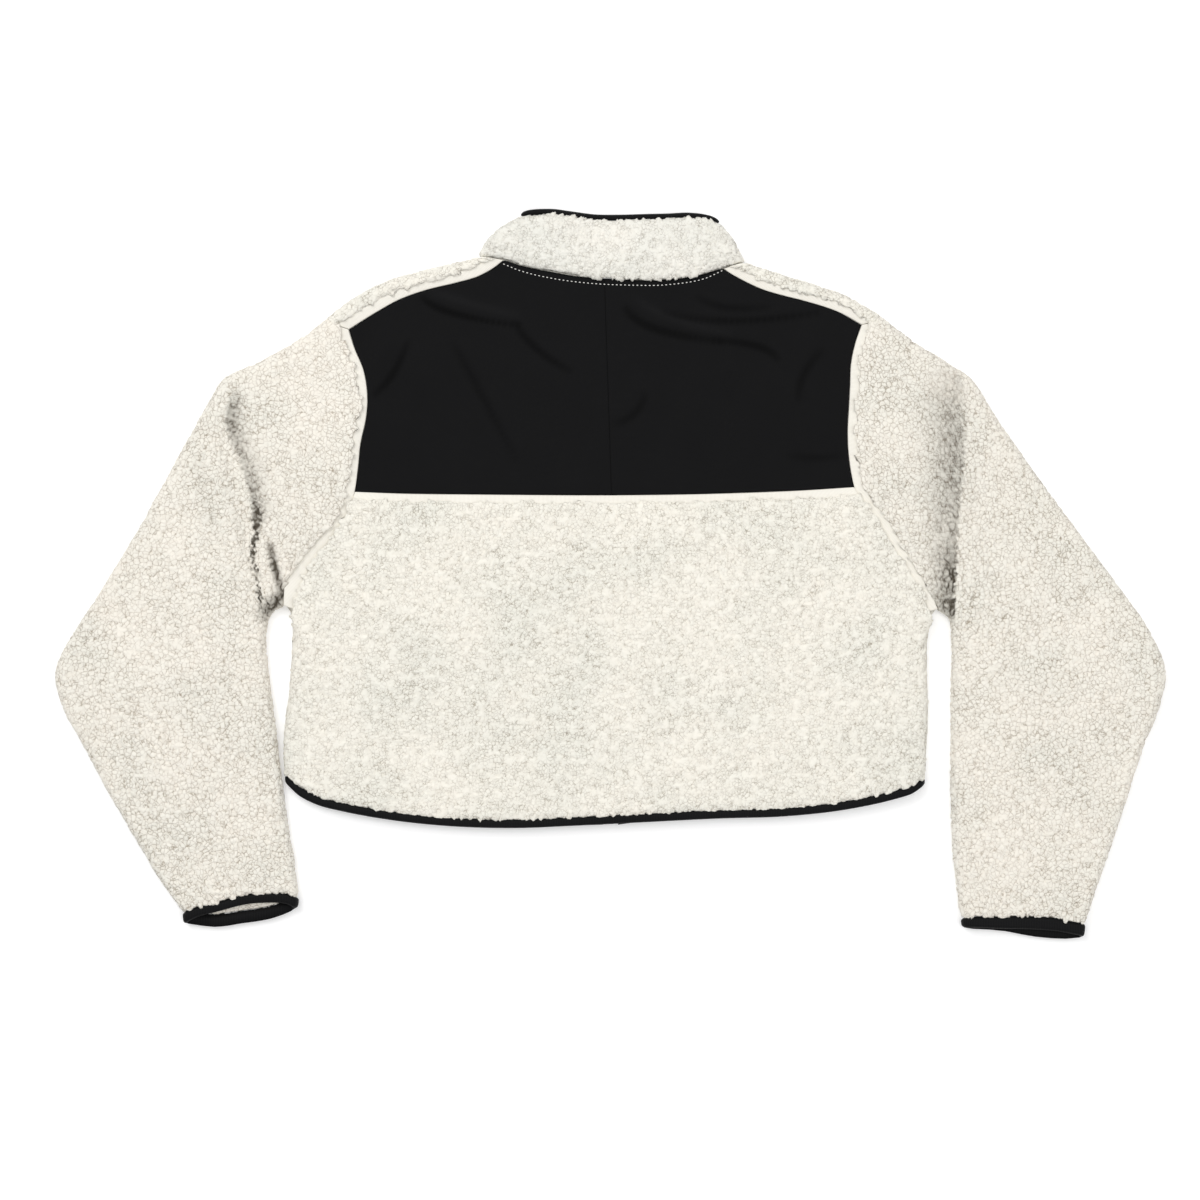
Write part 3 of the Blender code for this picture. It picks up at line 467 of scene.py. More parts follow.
def front_drop(x):
    """How far the front neckline lies below the back one: a squared sine across the neck."""
    left, right = NECK_LINE[0][0], NECK_LINE[-1][0]
    return FRONT_NECK_DROP * np.sin(np.pi * np.clip((x - left) / (right - left), 0, 1)) ** 2


def hem_seam():
    """Where the body's cloth ends, above the binding."""
    return points(HEM, 0, 1) + np.column_stack([[0.0] * len(HEM), points(HEM, 2)[:, 0] + GAP])


# --- heights ----------------------------------------------------------------------------


def folds(plan, table):
    """Height that folds add at each point of a plan grid: for each fold, its height times a
    bell of the distance to a parabola through its three points, tapered at both ends."""
    added = np.zeros(plan.shape[:-1])
    t = np.linspace(0, 1, 25)[:, None]
    for x0, y0, x1, y1, x2, y2, half_width, height in table:
        start, middle, end = np.array([[x0, y0], [x1, y1], [x2, y2]], float)
        line = (1 - t) ** 2 * start + 2 * t * (1 - t) * middle + t**2 * end
        nearest = np.full(added.shape, np.inf)
        place = np.zeros(added.shape)
        for point, share in zip(line, t[:, 0]):
            apart = np.hypot(plan[..., 0] - point[0], plan[..., 1] - point[1])
            place = np.where(apart < nearest, share, place)
            nearest = np.minimum(apart, nearest)
        taper = np.sin(np.pi * (0.08 + 0.84 * place)) ** 0.6
        added += height * taper * np.exp(-((nearest / half_width) ** 2))
    return added


def lapped(plan, table, side):
    """Shade beside a roll that laps over the cloth: full at the roll's uneven edge, and a bell
    on both sides of it, wide on the body's side and narrow on the roll."""
    edge, wide, dark, soft = (np.interp(plan[..., 1], *points(table, 0, column).T)
                              for column in (1, 2, 3, 4))
    past = (plan[..., 0] - edge) * of_side(side, 1, -1)
    past = past + uneven(plan, LAP_EDGE)
    return dark * np.exp(-((past / np.where(past > 0, wide, soft)) ** 2))


def uneven(grid, swell, seed=0.0):
    """A slow rise and fall over a grid's plan, with the swell's own height and width."""
    height, width = swell
    return height * swells(grid[..., :2].reshape(-1, 2) + seed, width).reshape(grid.shape[:2])


def eased(value):
    """0 below 0, 1 above 1, and a smooth step between."""
    value = np.clip(value, 0, 1)
    return value * value * (3 - 2 * value)


def raised(plan, z):
    """A plan grid with its heights."""
    return np.dstack([plan, np.broadcast_to(z, plan.shape[:2])])


# --- finer grids ------------------------------------------------------------------------


def run_lengths(grid, axis):
    """Mean length run along one direction of a grid up to each row or column."""
    steps = np.linalg.norm(np.diff(grid, axis=axis), axis=-1).mean(axis=1 - axis)
    return np.concatenate([[0], np.cumsum(steps)])


def hermite(stations, wanted):
    """Weights that carry values at the stations to the wanted places. Each span is a cubic,
    and the slope at a station is that of the parabola through it and its two neighbours. A
    tangent is no longer than a span and a half of the neighbour, so a curve can't overshoot."""
    count = len(stations)
    gap = np.diff(stations)
    rise = (np.eye(count)[1:] - np.eye(count)[:-1]) / gap[:, None]
    slope = np.zeros((count, count))
    slope[0], slope[-1] = rise[0], rise[-1]
    later = (gap[:-1] / (gap[:-1] + gap[1:]))[:, None]
    slope[1:-1] = (1 - later) * rise[:-1] + later * rise[1:]
    span = np.clip(np.searchsorted(stations, wanted, "right") - 1, 0, count - 2)
    t = ((wanted - stations[span]) / gap[span])[:, None]
    before = np.minimum(gap[span], 1.5 * gap[np.maximum(span - 1, 0)])[:, None]
    after = np.minimum(gap[span], 1.5 * gap[np.minimum(span + 1, count - 2)])[:, None]
    value = np.eye(count)
    return (
        (1 + 2 * t) * (1 - t) ** 2 * value[span]
        + t * (1 - t) ** 2 * before * slope[span]
        + t**2 * (3 - 2 * t) * value[span + 1]
        + t**2 * (t - 1) * after * slope[span + 1]
    )


WRAP = 3  # columns repeated past each end of a grid that is shut


def finer(grids, rows, columns, shut=False):
    """Matching grids at the wanted places along the rows and columns of the first of them."""
    lead = grids[0]
    if shut:
        lead = np.concatenate([lead[:, -WRAP:], lead, lead[:, :WRAP]], axis=1)
    stations = run_lengths(lead, 1)
    across = hermite(stations, columns + (stations[WRAP] if shut else 0))
    if shut:
        owner = (np.arange(lead.shape[1]) - WRAP) % grids[0].shape[1]
        across = across @ np.eye(grids[0].shape[1])[owner]
    down = hermite(run_lengths(grids[0], 0), rows)
    return [np.einsum("ai,bj,ijk->abk", down, across, grid, optimize=True) for grid in grids]


def laid(plan, spacing):
    """A plan grid made finer, with close rows and columns near its four edges."""
    rows, columns = (places(run_lengths(plan, axis)[-1], spacing) for axis in (0, 1))
    return finer([plan], rows, columns)[0]


def ring_places(loop, fine, coarse, shut):
    """Places round a flattened loop: fine on the layer that faces up, coarse on the other."""
    stations = run_lengths(loop, 1)
    count = len(stations)
    layer = (count - 2 * TURN_STEPS) // 2
    first, last = stations[layer // 2], stations[count - layer // 2 - 1]
    end = stations[-1]
    if shut:
        end += np.linalg.norm(loop[:, 0] - loop[:, -1], axis=-1).mean()
    under = STRIDE * max(int(np.ceil(first / coarse / STRIDE)), 1)
    over = STRIDE * max(int(np.ceil((last - first) / fine / STRIDE)), 1)
    spots = np.concatenate([
        np.linspace(0, first, under + 1)[:-1],
        np.linspace(first, last, over + 1)[:-1],
        np.linspace(last, end, under + 1),
    ])
    return spots[:-1] if shut else spots


def places(total, spacing, ends=(True, True)):
    """Places from 0 to a total length, evenly spaced but for closer ones near its ends. Their
    count is one more than a multiple of the stride."""
    steps = np.array(EDGE_STEPS) * min(1, total / 8)
    first = steps if ends[0] else steps[:1]
    last = (total - steps[::-1]) if ends[1] else np.array([total])
    room = last[0] - first[-1]
    count = max(int(np.ceil(room / spacing)), 1)
    count += -(len(first) + len(last) + count - 2) % STRIDE
    return np.concatenate([first, np.linspace(first[-1], last[0], count + 1)[1:-1], last])


def edge_runs(grid):
    """Distance along the cloth from each point to the first and last row and column."""
    down = np.linalg.norm(np.diff(grid, axis=0), axis=-1)
    across = np.linalg.norm(np.diff(grid, axis=1), axis=-1)
    from_first_row = np.vstack([np.zeros((1, grid.shape[1])), np.cumsum(down, axis=0)])
    from_first_column = np.hstack([np.zeros((grid.shape[0], 1)), np.cumsum(across, axis=1)])
    return (
        from_first_row,
        from_first_row[-1:] - from_first_row,
        from_first_column,
        from_first_column[:, -1:] - from_first_column,
    )


def rounded(outer, inner, edges):
    """The outer surface sunk towards the inner one near its edges, on a quarter circle. Each
    edge (first row, last row, first column, last column) has a radius and a share."""
    kept = np.ones(outer.shape[:2])
    for run, (radius, share) in zip(edge_runs(outer), edges):
        if np.any(share):
            back = 1 - np.clip(run / radius, 0, 1)
            kept = kept * (1 - share * (1 - np.sqrt(1 - back**2)))
    return inner + kept[..., None] * (outer - inner)


def normals(grid, shut):
    """Unit normals of a grid from the cross product of its two slopes."""
    across = np.gradient(grid, axis=1)
    if shut:
        wrapped = np.concatenate([grid[:, -1:], grid, grid[:, :1]], axis=1)
        across = (wrapped[:, 2:] - wrapped[:, :-2]) / 2
    normal = np.cross(across, np.gradient(grid, axis=0))
    return normal / np.maximum(np.linalg.norm(normal, axis=-1, keepdims=True), 1e-9)


# --- pile -------------------------------------------------------------------------------


def hashed(cells, salt):
    """Evenly spread numbers from 0 to 1 for whole cell numbers, always the same ones."""
    mixed = (
        cells[:, 0] * np.int64(73856093)
        ^ cells[:, 1] * np.int64(19349663)
        ^ cells[:, 2] * np.int64(83492791)
        ^ np.int64(salt * 2654435761)
    ).astype(np.uint32)
    mixed ^= mixed >> np.uint32(16)
    mixed *= np.uint32(0x7FEB352D)
    mixed ^= mixed >> np.uint32(15)
    mixed *= np.uint32(0x846CA68B)
    mixed ^= mixed >> np.uint32(16)
    return mixed / np.float64(2**32)


def curls(spots, size, stretch):
    """Height and tone of curled tufts, both from 0 to 1. Each cell of a cubic lattice holds
    one long tuft, at its own place and turn. A point belongs to the nearest tuft, and sinks
    where the second nearest is as near, the more so the more their own numbers differ, so
    that tufts with like numbers run together into one curl."""
    cell = np.floor(spots / size).astype(np.int64)
    first = np.full(len(spots), 9.0)
    second = first.copy()
    own_first = np.zeros(len(spots))
    own_second = np.zeros(len(spots))
    for step in product((-1, 0, 1), repeat=3):
        near = cell + np.array(step)
        jitter = np.column_stack([hashed(near, salt) for salt in (1, 2, 3)])
        turn = 2 * np.pi * hashed(near, 4)
        apart = spots / size - near - jitter
        along = apart[:, 0] * np.cos(turn) + apart[:, 1] * np.sin(turn)
        reach = np.sqrt((apart**2).sum(axis=1) - (1 - stretch**-2) * along**2)
        own = hashed(near, 5)
        closer = reach < first
        own_second = np.where(closer, own_first, np.where(reach < second, own, own_second))
        second = np.where(closer, first, np.minimum(second, reach))
        own_first = np.where(closer, own, own_first)
        first = np.where(closer, reach, first)
    parted = eased(np.abs(own_first - own_second) / CURL_PART)
    crevice = parted * np.exp(-(((second - first) / CREVICE) ** 2))
    height = (1 - 0.3 * first) * (1 - 0.55 * crevice) * (0.8 + 0.2 * own_first)
    return np.clip(height, 0, 1), own_first


def swells(spots, size):
    """A soft uneven rise and fall from -1 to 1: the mean of five crossing sine waves."""
    total = np.zeros(len(spots))
    for number in range(5):
        angle = 2.4 * number + 0.3
        wave = spots[:, 0] * np.cos(angle) + spots[:, 1] * np.sin(angle)
        total += np.sin(2 * np.pi * wave / (size * (0.8 + 0.13 * number)) + 1.7 * number)
    return total / 5


# --- shells -----------------------------------------------------------------------------


def outward(outer, inner):
    """1 if the grid's own normals point away from the inner surface, else -1."""
    return np.sign((normals(outer, False) * (outer - inner)).sum())


def shell(name, outer, inner, material, shut=False, pile=None, body="root"):
    """A closed piece of cloth: a fine outer grid, an inner grid of every sixth row and column,
    and rims of many-sided faces between them. A grid that is shut joins its last column to
    its first. pile holds a height, a tone and a crease's painted shade for each outer point;
    a yoke's holds only the painted light of its creases, under the first title."""
    rows, cols = outer.shape[:2]
    sparse = inner[::STRIDE, ::STRIDE]
    index = np.arange(rows * cols).reshape(rows, cols)
    under = rows * cols + np.arange(sparse.shape[0] * sparse.shape[1]).reshape(sparse.shape[:2])
    u, v = run_lengths(outer, 1), run_lengths(outer, 0)
    if shut:
        index = np.hstack([index, index[:, :1]])
        under = np.hstack([under, under[:, :1]])
        u = np.append(u, u[-1] + np.linalg.norm(outer[:, 0] - outer[:, -1], axis=-1).mean())
    plan = np.dstack(np.meshgrid(u, v)) * MM

    def quads(grid):
        corners = (grid[:-1, :-1], grid[:-1, 1:], grid[1:, 1:], grid[1:, :-1])
        stacked = np.stack(corners, axis=2)
        return stacked.reshape(-1, 4, *stacked.shape[3:])

    faces = [quads(index), quads(under)[:, ::-1]]
    maps = [quads(plan), quads(plan[::STRIDE, ::STRIDE])[:, ::-1]]
    fine = [(index[0], under[0], plan[0]), (index[-1, ::-1], under[-1, ::-1], plan[-1, ::-1])]
    if not shut:
        fine += [(index[::-1, 0], under[::-1, 0], plan[::-1, 0]),
                 (index[:, -1], under[:, -1], plan[:, -1])]
    for edge, low, place in fine:
        start = np.arange(0, len(edge) - 1, STRIDE)
        run = start[:, None] + np.arange(STRIDE, -1, -1)
        faces.append(np.hstack([edge[run], low[:-1, None], low[1:, None]]))
        ends = place[::STRIDE]
        maps.append(np.concatenate([place[run], ends[:-1, None], ends[1:, None]], axis=1))
    if outward(outer, inner) < 0:
        faces = [part[:, ::-1] for part in faces]
        maps = [part[:, ::-1] for part in maps]
    mesh = bpy.data.meshes.new(name)
    spots = np.vstack([outer.reshape(-1, 3), sparse.reshape(-1, 3)]) * MM
    mesh.from_pydata(spots.tolist(), [], [face for part in faces for face in part.tolist()])
    layer = mesh.uv_layers.new(name="cloth")
    layer.data.foreach_set("uv", np.concatenate([part.ravel() for part in maps]).astype(np.float32))
    if pile is not None:
        for title, values, rest in zip(("pile", "tone", "shade"), pile, (0.5, 0.5, 0.0)):
            held = mesh.attributes.new(title, "FLOAT", "POINT")
            full = np.concatenate([values.ravel(), np.full(sparse[..., 0].size, rest)])
            held.data.foreach_set("value", full.astype(np.float32))
    mesh.materials.append(material)
    mesh.shade_smooth()
    made = bpy.data.objects.new(name, mesh)
    bpy.context.scene.collection.objects.link(made)
    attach(made, body)
    return made


def over_edges(outer, reaches):
    """How far tufts lean out past each edge (first row, last row, first column, last column):
    the edge's reach times a smooth step down over its last millimetres, along the step from
    the next row or column to the edge."""
    steps = (outer[:1] - outer[3:4], outer[-1:] - outer[-4:-3],
             outer[:, :1] - outer[:, 3:4], outer[:, -1:] - outer[:, -4:-3])
    lean = np.zeros(outer.shape)
    for run, step, reach in zip(edge_runs(outer), steps, reaches):
        if np.any(reach):
            step = step * (1, 1, 0)
            step = step / np.maximum(np.linalg.norm(step, axis=-1, keepdims=True), 1e-6)
            lean += (reach * eased(1 - run / LEAN_RUN))[..., None] * step
    return lean


def fleece_shell(name, outer, inner, material, settings, tuft, shut=False, seed=0.0, lean=0.0,
                 shade=0.0):
    """A shell with pile: each outer point moves along its normal by its tuft's height, less
    the mean height, and by a soft swell. Near an edge it also moves by its lean, times a share
    that grows with the tuft's height times its tone to the power 1.5, so that a few tufts lean
    far. In a crease the shade is deepest between the tufts."""
    facing = outward(outer, inner)
    height, tone = curls(outer.reshape(-1, 3) + seed, tuft / MM, settings.tuft_stretch)
    height, tone = height.reshape(outer.shape[:2]), tone.reshape(outer.shape[:2])
    lift = settings.pile_depth / MM * (height - PILE_MEAN)
    lift = lift + uneven(outer, PILE_SWELL, seed)
    grown = outer + (facing * lift)[..., None] * normals(outer, shut)
    grown = grown + lean * (LEAN_SHARES[0] + LEAN_SHARES[1] * (height * tone**1.5)[..., None])
    grown[..., 2] = np.maximum(grown[..., 2], settings.floor_gap / MM)
    dark = np.clip(shade * (CREASE_DARK[0] - CREASE_DARK[1] * height), 0, 1)
    return shell(name, grown, inner, material, shut, (height, tone, dark))


def cut_area(outer, shut=False):
    """Area of a coarse grid in square metres: half the cross products of its cells' diagonals."""
    if shut:
        outer = np.concatenate([outer, outer[:, :1]], axis=1)
    one = outer[1:, 1:] - outer[:-1, :-1]
    other = outer[1:, :-1] - outer[:-1, 1:]
    return np.linalg.norm(np.cross(one, other), axis=-1).sum() / 2 * MM**2


def declare(outer, node, shut=False, turned=0.0):
    """Hides the node that the cloth stands for, and works out the size and area that it was cut to,
    which nothing then uses.
    A narrow strip's cut is wider by what is turned under at its two long edges."""
    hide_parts(node)
    sizes = [run_lengths(outer, 1)[-1] * MM, run_lengths(outer, 0)[-1] * MM]
    if shut:
        sizes[0] += np.linalg.norm(outer[:, 0] - outer[:, -1], axis=-1).mean() * MM
    area = cut_area(outer, shut) + max(sizes) * turned * MM
    sizes[int(np.argmin(sizes))] += turned * MM
    grow = max(1.0, area / (sizes[0] * sizes[1]))
    flat = (round(float(sizes[0] * grow), 3), round(float(sizes[1]), 3))
    area = min(float(area), flat[0] * flat[1])


# --- coarse grids of the pieces ---------------------------------------------------------


def back_body_plan():
    """Plan of the sherpa panel from the tape under the yoke to the hem."""
    tape_edge = moved(points(YOKE_LOWER, 0, 1), -(TAPE_WIDTH + 2.5 * GAP))
    sides = []
    for side, turn in (("left", 1), ("right", -1)):
        seam = moved(points(of_side(side, ARMHOLE_LEFT, ARMHOLE_RIGHT), 0, 1), turn * GAP)
        above, *below = seam[-BODY_ARMHOLE_ROWS - 1 :]
        share = (at_x(tape_edge, below[0][0]) - below[0][1]) / (above[1] - below[0][1])
        corner = below[0] + share * (above - below[0])
        side_line = at(smooth(of_side(side, SIDE_LEFT, SIDE_RIGHT)), np.linspace(0, 1, BODY_ROWS))
        sides.append(np.vstack([side_line, below[-2::-1], corner]))
    left, right = sides
    hem = hem_seam()
    hem = np.vstack([left[:1], hem[1:-1], right[:1]])
    top_x = np.interp(share_along(hem), [0, 1], [left[-1, 0], right[-1, 0]])
    top = np.column_stack([top_x, at_x(tape_edge, top_x)])
    top[0], top[-1] = left[-1], right[-1]
    return between(hem, top, left, right)


def yoke_plan(side):
    """Plan of one half of the yoke, from the seam above the body up to the neck."""
    turn = 1 if side == "left" else -1
    lower = points(YOKE_LOWER, 0, 1)
    armhole = points(of_side(side, ARMHOLE_LEFT, ARMHOLE_RIGHT), 0, 1)
    outer_side = moved(armhole, turn * 1.5 * GAP)
    outer_side = outer_side[outer_side[:, 1] > at_x(lower, outer_side[:, 0]) - 1.5][::-1]
    outer_side[0, 1] = at_x(lower, outer_side[0, 0])
    shoulder = points(of_side(side, SHOULDER_LEFT, SHOULDER_RIGHT), 0, 1)
    outer_side[-1] = moved(np.vstack([shoulder[1::-1], armhole[1]]), turn * 2 * GAP)[1]
    shoulder = moved(shoulder, -turn * GAP)
    centre = points(CENTRE_BACK, 0, 1) - [turn * GAP / 2, 0]
    centre[-1, 1] = neck_height(centre[-1, 0]) - 2 * GAP
    centre = at(centre, share_along(outer_side))
    neck = points(NECK_LINE, 0, 1) - [0, 2 * GAP]
    neck = neck[(neck[:, 0] * turn > shoulder[-1, 0] * turn + 4) & (neck[:, 0] * turn < -8)]
    neck = neck[np.argsort(neck[:, 0] * turn)]
    top = np.vstack([outer_side[-1:], shoulder[1:], neck, centre[-1:]])
    across = np.interp(share_along(top), [0, 1], [outer_side[0, 0], centre[0, 0]])
    bottom = np.column_stack([across, at_x(lower, across)])
    return between(bottom, top, outer_side, centre)


def yoke_height(plan):
    """Top of the yoke's cloth: its fold ridges and a slight unevenness."""
    cloth = YOKE_SWELL[0] + uneven(plan, YOKE_SWELL)
    return BACK_LOW + WOVEN + folds(plan, YOKE_FOLDS) + folds(plan, YOKE_CREASES) + cloth


def tape_edges():
    """Name, body edge and outer edge of each seam tape."""
    edges = {}
    for side in ("left", "right"):
        armhole = of_side(side, ARMHOLE_LEFT, ARMHOLE_RIGHT)
        edges[f"armhole_tape_{side}"] = (points(armhole, 0, 1), points(armhole, 2, 3))
        shoulder = of_side(side, SHOULDER_LEFT, SHOULDER_RIGHT)
        inner, outer = points(shoulder, 0, 1), points(shoulder, 2, 3)
        for edge in (inner, outer):
            along = edge[1] - edge[0]
            edge[0] += along * 1.3 * GAP / np.linalg.norm(along)
        edges[f"shoulder_tape_{side}"] = (inner, outer)
    under = moved(points(YOKE_LOWER, 0, 1), -GAP)
    left = moved(points(ARMHOLE_LEFT, 0, 1), 1.5 * GAP)
    right = moved(points(ARMHOLE_RIGHT, 0, 1), -1.5 * GAP)
    pair = []
    for drop in (0, TAPE_WIDTH):
        line = moved(under, -drop)
        line[0, 0] = np.interp(-line[0, 1], -left[:, 1], left[:, 0])
        line[-1, 0] = np.interp(-line[-1, 1], -right[:, 1], right[:, 0])
        pair.append(line)
    edges["yoke_tape"] = tuple(pair)
    return edges


def front_grids(side):
    """Outer and inner grid of one front, up round the shoulder to the tape on the back."""
    turn = 1 if side == "left" else -1
    shoulder = of_side(side, SHOULDER_LEFT, SHOULDER_RIGHT)
    fold, tape_edge = points(shoulder, 4, 5), points(shoulder, 2, 3)
    armhole = points(of_side(side, ARMHOLE_LEFT, ARMHOLE_RIGHT), 2, 3)
    armhole = moved(np.vstack([fold[:1], armhole]), turn * GAP)
    fold[0], tape_edge[0] = armhole[:2]
    inward = tape_edge - fold
    width = np.linalg.norm(inward, axis=1)[:, None]
    inward /= width
    reach = np.minimum(LAYER, 0.85 * (width - GAP))
    centres = fold + inward * reach
    side_line = smooth(of_side(side, SIDE_LEFT, SIDE_RIGHT))
    outer_line = np.vstack([
        at(side_line, np.linspace(0, 1, BODY_ROWS)), armhole[:0:-1], centres[:1],
    ])
    edge_x = -turn * (ZIP_HALF + GAP)
    hem = hem_seam() + [0, GAP]
    hem = hem[np.argsort(hem[:, 0] * turn)][: len(shoulder) - 1]
    hem = np.vstack([outer_line[:1], hem[1:], [[edge_x, at_x(hem_seam(), edge_x) + GAP]]])
    stations = points(NECK_LINE, 0, 1)[:, 0]
    stations = stations[(stations * turn < -10) & (stations * turn > centres[-1, 0] * turn + 3)]
    stations = np.append(edge_x, sorted(stations, key=abs))
    neck = np.column_stack([
        stations, neck_height(stations) - front_drop(stations) - 3 * GAP,
    ])
    straight = np.linspace(0, 1, len(outer_line) - len(neck))[:-1]
    straight = hem[-1] + straight[:, None] * (neck[0] - hem[-1])
    centre_line = np.vstack([straight, neck, centres[-1:]])
    plan = between(hem, centres, outer_line, centre_line)
    outer = [raised(plan, 0.0)]
    inner = [raised(plan, FRONT_HIGH - 0.2)]
    for angle in np.linspace(-np.pi / 2, np.pi / 2, TURN_STEPS + 2)[1:]:
        for grid, radius, half in (
            (outer, reach, LAYER),
            (inner, np.maximum(reach - FLEECE, 0.4), LAYER - FLEECE),
        ):
            row = centres - inward * radius * np.cos(angle)
            grid.append(raised(row[None], LAYER + half * np.sin(angle)))
    end = tape_edge - inward * 1.5 * GAP
    for share, drop in ((0.6, 0.4), (1.0, 1.2)):
        row = centres + share * (end - centres)
        outer.append(raised(row[None], STACK - drop))
        inner.append(raised(row[None], STACK - FLEECE))
    return np.vstack(outer), np.vstack(inner)


def flat_loop(upper, lower, upper_z, lower_z, thick, split=None):
    """Outer and inner points of flattened loops, as the solids have them: a lower layer, half
    an ellipse round each fold, and an upper layer. A split leaves the lower layer open."""
    middle = upper.shape[1] // 2
    upper_z = np.broadcast_to(upper_z, upper.shape[:2])
    angles = np.linspace(-np.pi / 2, np.pi / 2, TURN_STEPS + 2)[1:-1]

    def turn(fold, centre, outer):
        reach = np.linalg.norm(upper[:, fold] - upper[:, centre], axis=1)[:, None, None]
        share = 1.0 if outer else np.maximum(reach - thick, 0.4) / reach
        lift = (1 + np.sin(angles))[None, :, None] / 2
        base = (1 - lift) * lower[:, centre, None] + lift * upper[:, centre, None]
        tip = (1 - lift) * lower[:, fold, None] + lift * upper[:, fold, None]
        plan = base + share * np.cos(angles)[None, :, None] * (tip - base)
        low = lower_z + (0 if outer else thick)
        high = upper_z[:, centre, None] - (0 if outer else thick)
        return np.concatenate([plan, (low + lift[..., 0] * (high - low))[..., None]], -1)

    def loop(outer):
        low = lower_z + (0 if outer else thick)
        over = np.dstack([upper, upper_z - (0 if outer else thick)])[:, 1:-1]
        under = np.dstack([lower, np.full(lower.shape[:2], low)])
        first, last = under[:, middle:0:-1].copy(), under[:, -2:middle:-1]
        if split is not None:
            last = under[:, -2 : middle - 1 : -1].copy()
            first[:, 0, 0] = -split
            last[:, -1, 0] = split
        left, right = turn(0, 1, outer), turn(-1, -2, outer)[:, ::-1]
        return np.concatenate([first, left, over, right, last], axis=1)

    return loop(True), loop(False)


def sleeve_head(side):
    """The sleeve's edge at the armhole, from the shoulder fold to the underarm."""
    turn = 1 if side == "left" else -1
    armhole = points(of_side(side, ARMHOLE_LEFT, ARMHOLE_RIGHT), 2, 3)
    start = np.array(of_side(side, SHOULDER_LEFT, SHOULDER_RIGHT)[0][4:6])
    return moved(np.vstack([start[None], armhole]), -turn * GAP)


def cuff_lines(side):
    """The cuff seam at the sleeve's stations, the binding's width, and the lower layer's peek."""
    stations = share_along(sleeve_head(side))
    seam = at(smooth(points(of_side(side, CUFF_LEFT, CUFF_RIGHT), 0, 1, 2, 3)), stations)
    return stations, seam[:, :2], seam[:, 2], seam[:, 3]


def sleeve_grids(side):
    """Outer and inner grid of a flattened tube from the armhole, round the elbow, to the cuff."""
    head = sleeve_head(side)
    stations, cuff, _, peek = cuff_lines(side)
    cuff = cuff + [0, GAP]
    peek = np.column_stack([0 * peek, peek])
    bow_head = head - (head[:1] + stations[:, None] * (head[-1:] - head[:1]))
    bow_cuff = cuff - (cuff[:1] + stations[:, None] * (cuff[-1:] - cuff[:1]))
    upper, lower, puffs = [head], [head], [0]
    for outer_x, outer_y, inner_x, inner_y, head_share, cuff_share, puff in of_side(
        side, SLEEVE_LEFT, SLEEVE_RIGHT
    ):
        ends = np.array([[outer_x, outer_y], [inner_x, inner_y]], float)
        line = ends[:1] + stations[:, None] * (ends[1:] - ends[:1])
        line = line + head_share * bow_head + cuff_share * bow_cuff
        upper.append(line)
        lower.append(line - cuff_share * peek)
        puffs.append(puff)
    upper = np.stack([*upper, cuff])
    lower = np.stack([*lower, cuff - peek])
    crown = np.sin(np.pi * stations)[None] ** 0.5 * np.array([*puffs, 0])[:, None]
    return flat_loop(upper, lower, STACK + crown, 0.0, FLEECE)


def cuff_binding_grids(side):
    """Outer and inner grid of the binding round the sleeve's end."""
    stations, line, width, peek = cuff_lines(side)
    ends = np.clip(np.minimum(stations, 1 - stations) / 0.12, 0, 1)
    lower_width = width + ends * (CUFF_BINDING - width)
    down = np.array([0, -1.0])
    upper, lower = [], []
    for share in (0.0, 0.5, 1.0):
        tuck = (line[-1, 0] - line[0, 0]) * CUFF_TUCK * share**2
        tuck = tuck * np.interp(stations, [0, 0.12, 0.88, 1], [1, 0, 0, -1])
        tuck = np.column_stack([tuck, 0 * tuck])
        upper.append(line + down * (CUFF_GAP + share * width)[:, None] + tuck)
        lower.append(line + down * (CUFF_GAP + peek + share * lower_width)[:, None] + tuck)
    z = np.full((3, len(stations)), BINDING_HIGH)
    return flat_loop(np.stack(upper), np.stack(lower), z, BINDING_LOW, BINDING_THICK)


def collar_plan(rows, above):
    """Plan of the collar's back layer and of its lower front layer."""
    neck = points(NECK_LINE, 0, 1) + [0, GAP]
    stations = share_along(neck)
    edge = at(smooth(COLLAR_EDGE), stations)
    neck[0], neck[-1] = COLLAR_FOLD_LEFT[0], COLLAR_FOLD_RIGHT[0]
    inside = np.linspace(0, 1, COLLAR_ROWS)
    left, right = at(smooth(COLLAR_FOLD_LEFT), inside), at(smooth(COLLAR_FOLD_RIGHT), inside)
    edge[0], edge[-1] = left[-1], right[-1]
    plan = between(neck, edge, left, right)
    if rows[-1] > 1:
        past = (rows - 1)[:, None] * above
        lean = np.interp(stations, [0, 0.12, 0.88, 1], COLLAR_LEAN)
        plan = plan[-1:] + np.dstack([past * lean, past * np.ones(len(stations))])
    drop = front_drop(neck[:, 0])
    lower = plan.copy()
    lower[..., 1] -= drop
    return plan, lower, drop / FRONT_NECK_DROP


def collar_sag(rows, share):
    """How far the back layer sinks towards the surface, past the front layer's upper edge."""
    past = COLLAR_HEIGHT * (rows[:, None] - (1 - share[None])) - COLLAR_BINDING - 6
    return (LAYER - 0.9) * eased(past / 26)


def collar_grids():
    """Outer and inner grid of the stand collar, open at the centre front."""
    rows = np.linspace(0, 1, COLLAR_ROWS)
    upper, lower, share = collar_plan(rows, 0)
    z = STACK + COLLAR_CROWN[:, None] - collar_sag(rows, share)
    return flat_loop(upper, lower, z, 0.0, FLEECE, split=ZIP_HALF + GAP)


